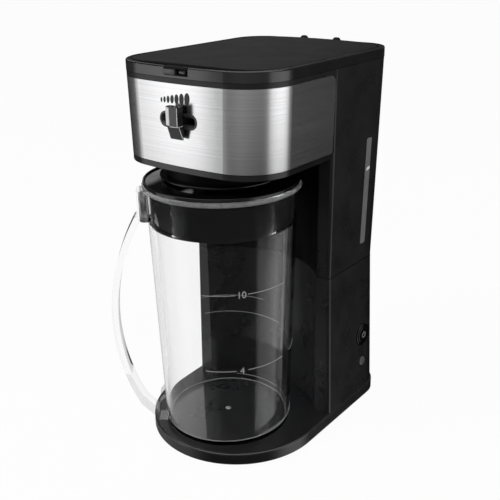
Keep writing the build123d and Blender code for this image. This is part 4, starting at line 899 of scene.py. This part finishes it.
def make_floor():
    """A pale floor that glows white to the eye, and dark in reflections except behind the machine."""
    reach = 6.0
    corners = [(-reach, -reach, 0), (reach, -reach, 0), (reach, reach, 0), (-reach, reach, 0)]
    mesh = bpy.data.meshes.new("floor")
    mesh.from_pydata(corners, [], [(0, 1, 2, 3)])
    floor = bpy.data.objects.new("floor", mesh)
    bpy.context.scene.collection.objects.link(floor)
    material, tree, shader = new_material("pale_floor")
    shader.inputs["Roughness"].default_value = 0.9
    shader.inputs["Specular IOR Level"].default_value = 0.0
    direct, mirrored = straight_view(tree)
    tone = two_tones(tree, mirrored, (0.85, 0.85, 0.85), (0.03, 0.03, 0.03))
    tree.links.new(tone, shader.inputs["Base Color"])
    far = tree.nodes.new("ShaderNodeMapRange")
    far.inputs["From Min"].default_value = -0.12
    far.inputs["From Max"].default_value = 0.02
    tree.links.new(distance_along(tree, object_pattern(tree, (1, 1, 1)), level_ahead), far.inputs["Value"])
    behind = calculate(tree, "MULTIPLY", far.outputs["Result"], mirrored)
    white_share = calculate(tree, "MULTIPLY", calculate(tree, "MAXIMUM", direct, behind), 0.95)
    glow = tree.nodes.new("ShaderNodeEmission")
    glow.inputs["Color"].default_value = (1, 1, 1, 1)
    lit = blend(tree, white_share, shader.outputs["BSDF"], glow.outputs["Emission"])
    tree.links.new(lit, surface_of(tree))
    floor.data.materials.append(material)
    floor.visible_glossy = False


def window(tree, value, start, full, high=1.0):
    """Rises smoothly from 0 at start to high at full; start may lie above full."""
    node = tree.nodes.new("ShaderNodeMapRange")
    node.interpolation_type = "SMOOTHSTEP"
    node.inputs["From Min"].default_value = start
    node.inputs["From Max"].default_value = full
    node.inputs["To Max"].default_value = high
    tree.links.new(value, node.inputs["Value"])
    return node.outputs["Result"]


def wall_tones(tree, split):
    """Grey walls all round, brighter and darker by the bearing in degrees, brightest about eye level."""
    stops = (
        (-180, 0.10), (-160, 0.12), (-152, 1.1), (-133, 1.8), (-124, 1.65), (-117, 0.40), (-108, 0.24),
        (-90, 0.30), (-74, 0.36), (-45, 0.30), (-25, 0.26), (-14, 0.30), (-4, 1.3), (13, 1.6), (27, 1.6),
        (39, 1.2), (47, 0.20), (54, 0.03), (100, 0.04), (150, 0.04), (165, 0.06), (174, 0.08), (180, 0.10),
    )
    share = tree.nodes.new("ShaderNodeMapRange")
    share.inputs["From Min"].default_value = -pi
    share.inputs["From Max"].default_value = pi
    tree.links.new(calculate(tree, "ARCTAN2", split["Y"], split["X"]), share.inputs["Value"])
    ramp = tree.nodes.new("ShaderNodeValToRGB")
    tree.links.new(share.outputs["Result"], ramp.inputs["Fac"])
    elements = ramp.color_ramp.elements
    while len(elements) < len(stops):
        elements.new(0.5)
    for element, (bearing, tone) in zip(elements, stops):
        element.position = (bearing + 180) / 360
        element.color = (tone, tone, tone, 1)
    foot = window(tree, split["Z"], -0.36, -0.24)
    head = window(tree, split["Z"], 0.22, 0.06, 0.85)
    above = window(tree, split["Z"], 0.02, 0.20, 0.10)
    band = calculate(tree, "ADD", calculate(tree, "MULTIPLY", foot, head), above)
    return calculate(tree, "MULTIPLY", ramp.outputs["Color"], band)


def soft_box(tree, bearing, height, middle, half_width, low, high, strength, blur=8.0, edge=0.06):
    """A glowing panel, given by its bearing and half width in degrees and by its lowest and highest sines."""
    aim = distance_along(tree, bearing, (cos(radians(middle)), sin(radians(middle)), 0))
    outside = cos(radians(half_width + blur))
    inside = cos(radians(half_width - blur))
    across = window(tree, aim, outside, inside, strength)
    upward = window(tree, height, low - edge, low + edge)
    downward = window(tree, height, high + edge, high - edge)
    return calculate(tree, "MULTIPLY", calculate(tree, "MULTIPLY", across, upward), downward)


def make_studio():
    """White all round for the eye and through glass. Metal and gloss see soft walls with darker gaps."""
    panels = (
        (82, 26, 0.06, 0.62, 0.12),
        (140, 22, 0.33, 0.62, 0.6, 8.0, 0.04),
        (137, 16, 0.245, 0.32, 0.75, 6.0, 0.02),
        (-148, 38, -0.75, -0.40, 0.5),
        (24, 20, -0.75, -0.40, 1.7, 6.0, 0.04),
        (-122, 10, -0.55, -0.36, 0.8),
        (150, 18, -0.55, -0.33, 0.5),
    )
    world = bpy.data.worlds.new("studio")
    bpy.context.scene.world = world
    world.use_nodes = True
    tree = world.node_tree
    plain = tree.nodes["Background"]
    plain.inputs["Color"].default_value = (1, 1, 1, 1)
    plain.inputs["Strength"].default_value = 0.5
    looking = tree.nodes.new("ShaderNodeTexCoord").outputs["Generated"]
    separate = tree.nodes.new("ShaderNodeSeparateXYZ")
    tree.links.new(looking, separate.inputs[0])
    split = separate.outputs
    bearing = tree.nodes.new("ShaderNodeVectorMath")
    bearing.operation = "NORMALIZE"
    tree.links.new(vector(tree, split["X"], split["Y"]), bearing.inputs[0])

    overhead = window(tree, split["Z"], 0.62, 0.82, 1.2)
    tones = calculate(tree, "ADD", wall_tones(tree, split), overhead)
    for panel in panels:
        glow = soft_box(tree, bearing.outputs[0], split["Z"], *panel)
        tones = calculate(tree, "ADD", tones, glow)
    rays = tree.nodes.new("ShaderNodeLightPath").outputs
    through = calculate(tree, "MINIMUM", rays["Transmission Depth"], 1.0)
    behind = distance_along(tree, looking, ahead)
    seen_through = calculate(tree, "MULTIPLY", window(tree, behind, 0.35, 0.6), through)
    backdrop = calculate(tree, "MAXIMUM", seen_through, window(tree, behind, 0.955, 0.99, 0.5))
    walls = tree.nodes.new("ShaderNodeBackground")
    walls.inputs["Color"].default_value = (1, 1, 1, 1)
    tree.links.new(calculate(tree, "MAXIMUM", tones, backdrop), walls.inputs["Strength"])
    white = tree.nodes.new("ShaderNodeBackground")
    white.inputs["Color"].default_value = (1, 1, 1, 1)
    bounced = calculate(tree, "MINIMUM", rays["Glossy Depth"], 1.0)
    glossy = calculate(tree, "MAXIMUM", rays["Is Glossy Ray"], bounced)
    indirect = blend(tree, glossy, plain.outputs[0], walls.outputs[0])
    direct = blend(tree, straight_view(tree)[0], indirect, white.outputs[0])
    tree.links.new(direct, tree.nodes["World Output"].inputs["Surface"])


def soft_lamp(name, place, size, power):
    """A square lamp that faces the middle of the machine and isn't seen mirrored."""
    target = Vector((0, 0, 0.18))
    data = bpy.data.lights.new(name, "AREA")
    data.shape = "RECTANGLE"
    data.size = size
    data.size_y = size
    data.energy = power
    lamp = bpy.data.objects.new(name, data)
    bpy.context.scene.collection.objects.link(lamp)
    lamp.location = place
    lamp.rotation_euler = (target - Vector(place)).to_track_quat("-Z", "Y").to_euler()
    lamp.visible_glossy = False


def make_camera():
    data = bpy.data.cameras.new("camera")
    data.sensor_width = 36.0
    data.lens = 57.13
    camera = bpy.data.objects.new("camera", data)
    bpy.context.scene.collection.objects.link(camera)
    level = Vector((cos(camera_bearing), sin(camera_bearing), 0))
    upright = level.cross(ahead)
    right = level * cos(camera_roll) + upright * sin(camera_roll)
    up = upright * cos(camera_roll) - level * sin(camera_roll)
    turn = Matrix((right, up, -ahead)).transposed()
    camera.matrix_world = Matrix.Translation(camera_place) @ turn.to_4x4()
    bpy.context.scene.camera = camera


make_strength_marks()
jug_lines = line_tree()
make_measures()
make_jug_lid()
make_collar_lip()
make_latch()
make_lever_beads()
make_power_sign()
make_gate_mark()
make_full_mark()
springs = spring_tree()
wind_spring("drip_coil", "drip_press", 0.0038, 3.0)
wind_spring("button_coil", "button_press", 0.0050, 1.5)
make_floor()
make_studio()
soft_lamp("key", (-0.9, -1.3, 1.5), 1.0, 16)
soft_lamp("fill", (1.5, -0.3, 1.1), 1.2, 7)
make_camera()
bpy.context.scene.view_settings.view_transform = "Standard"
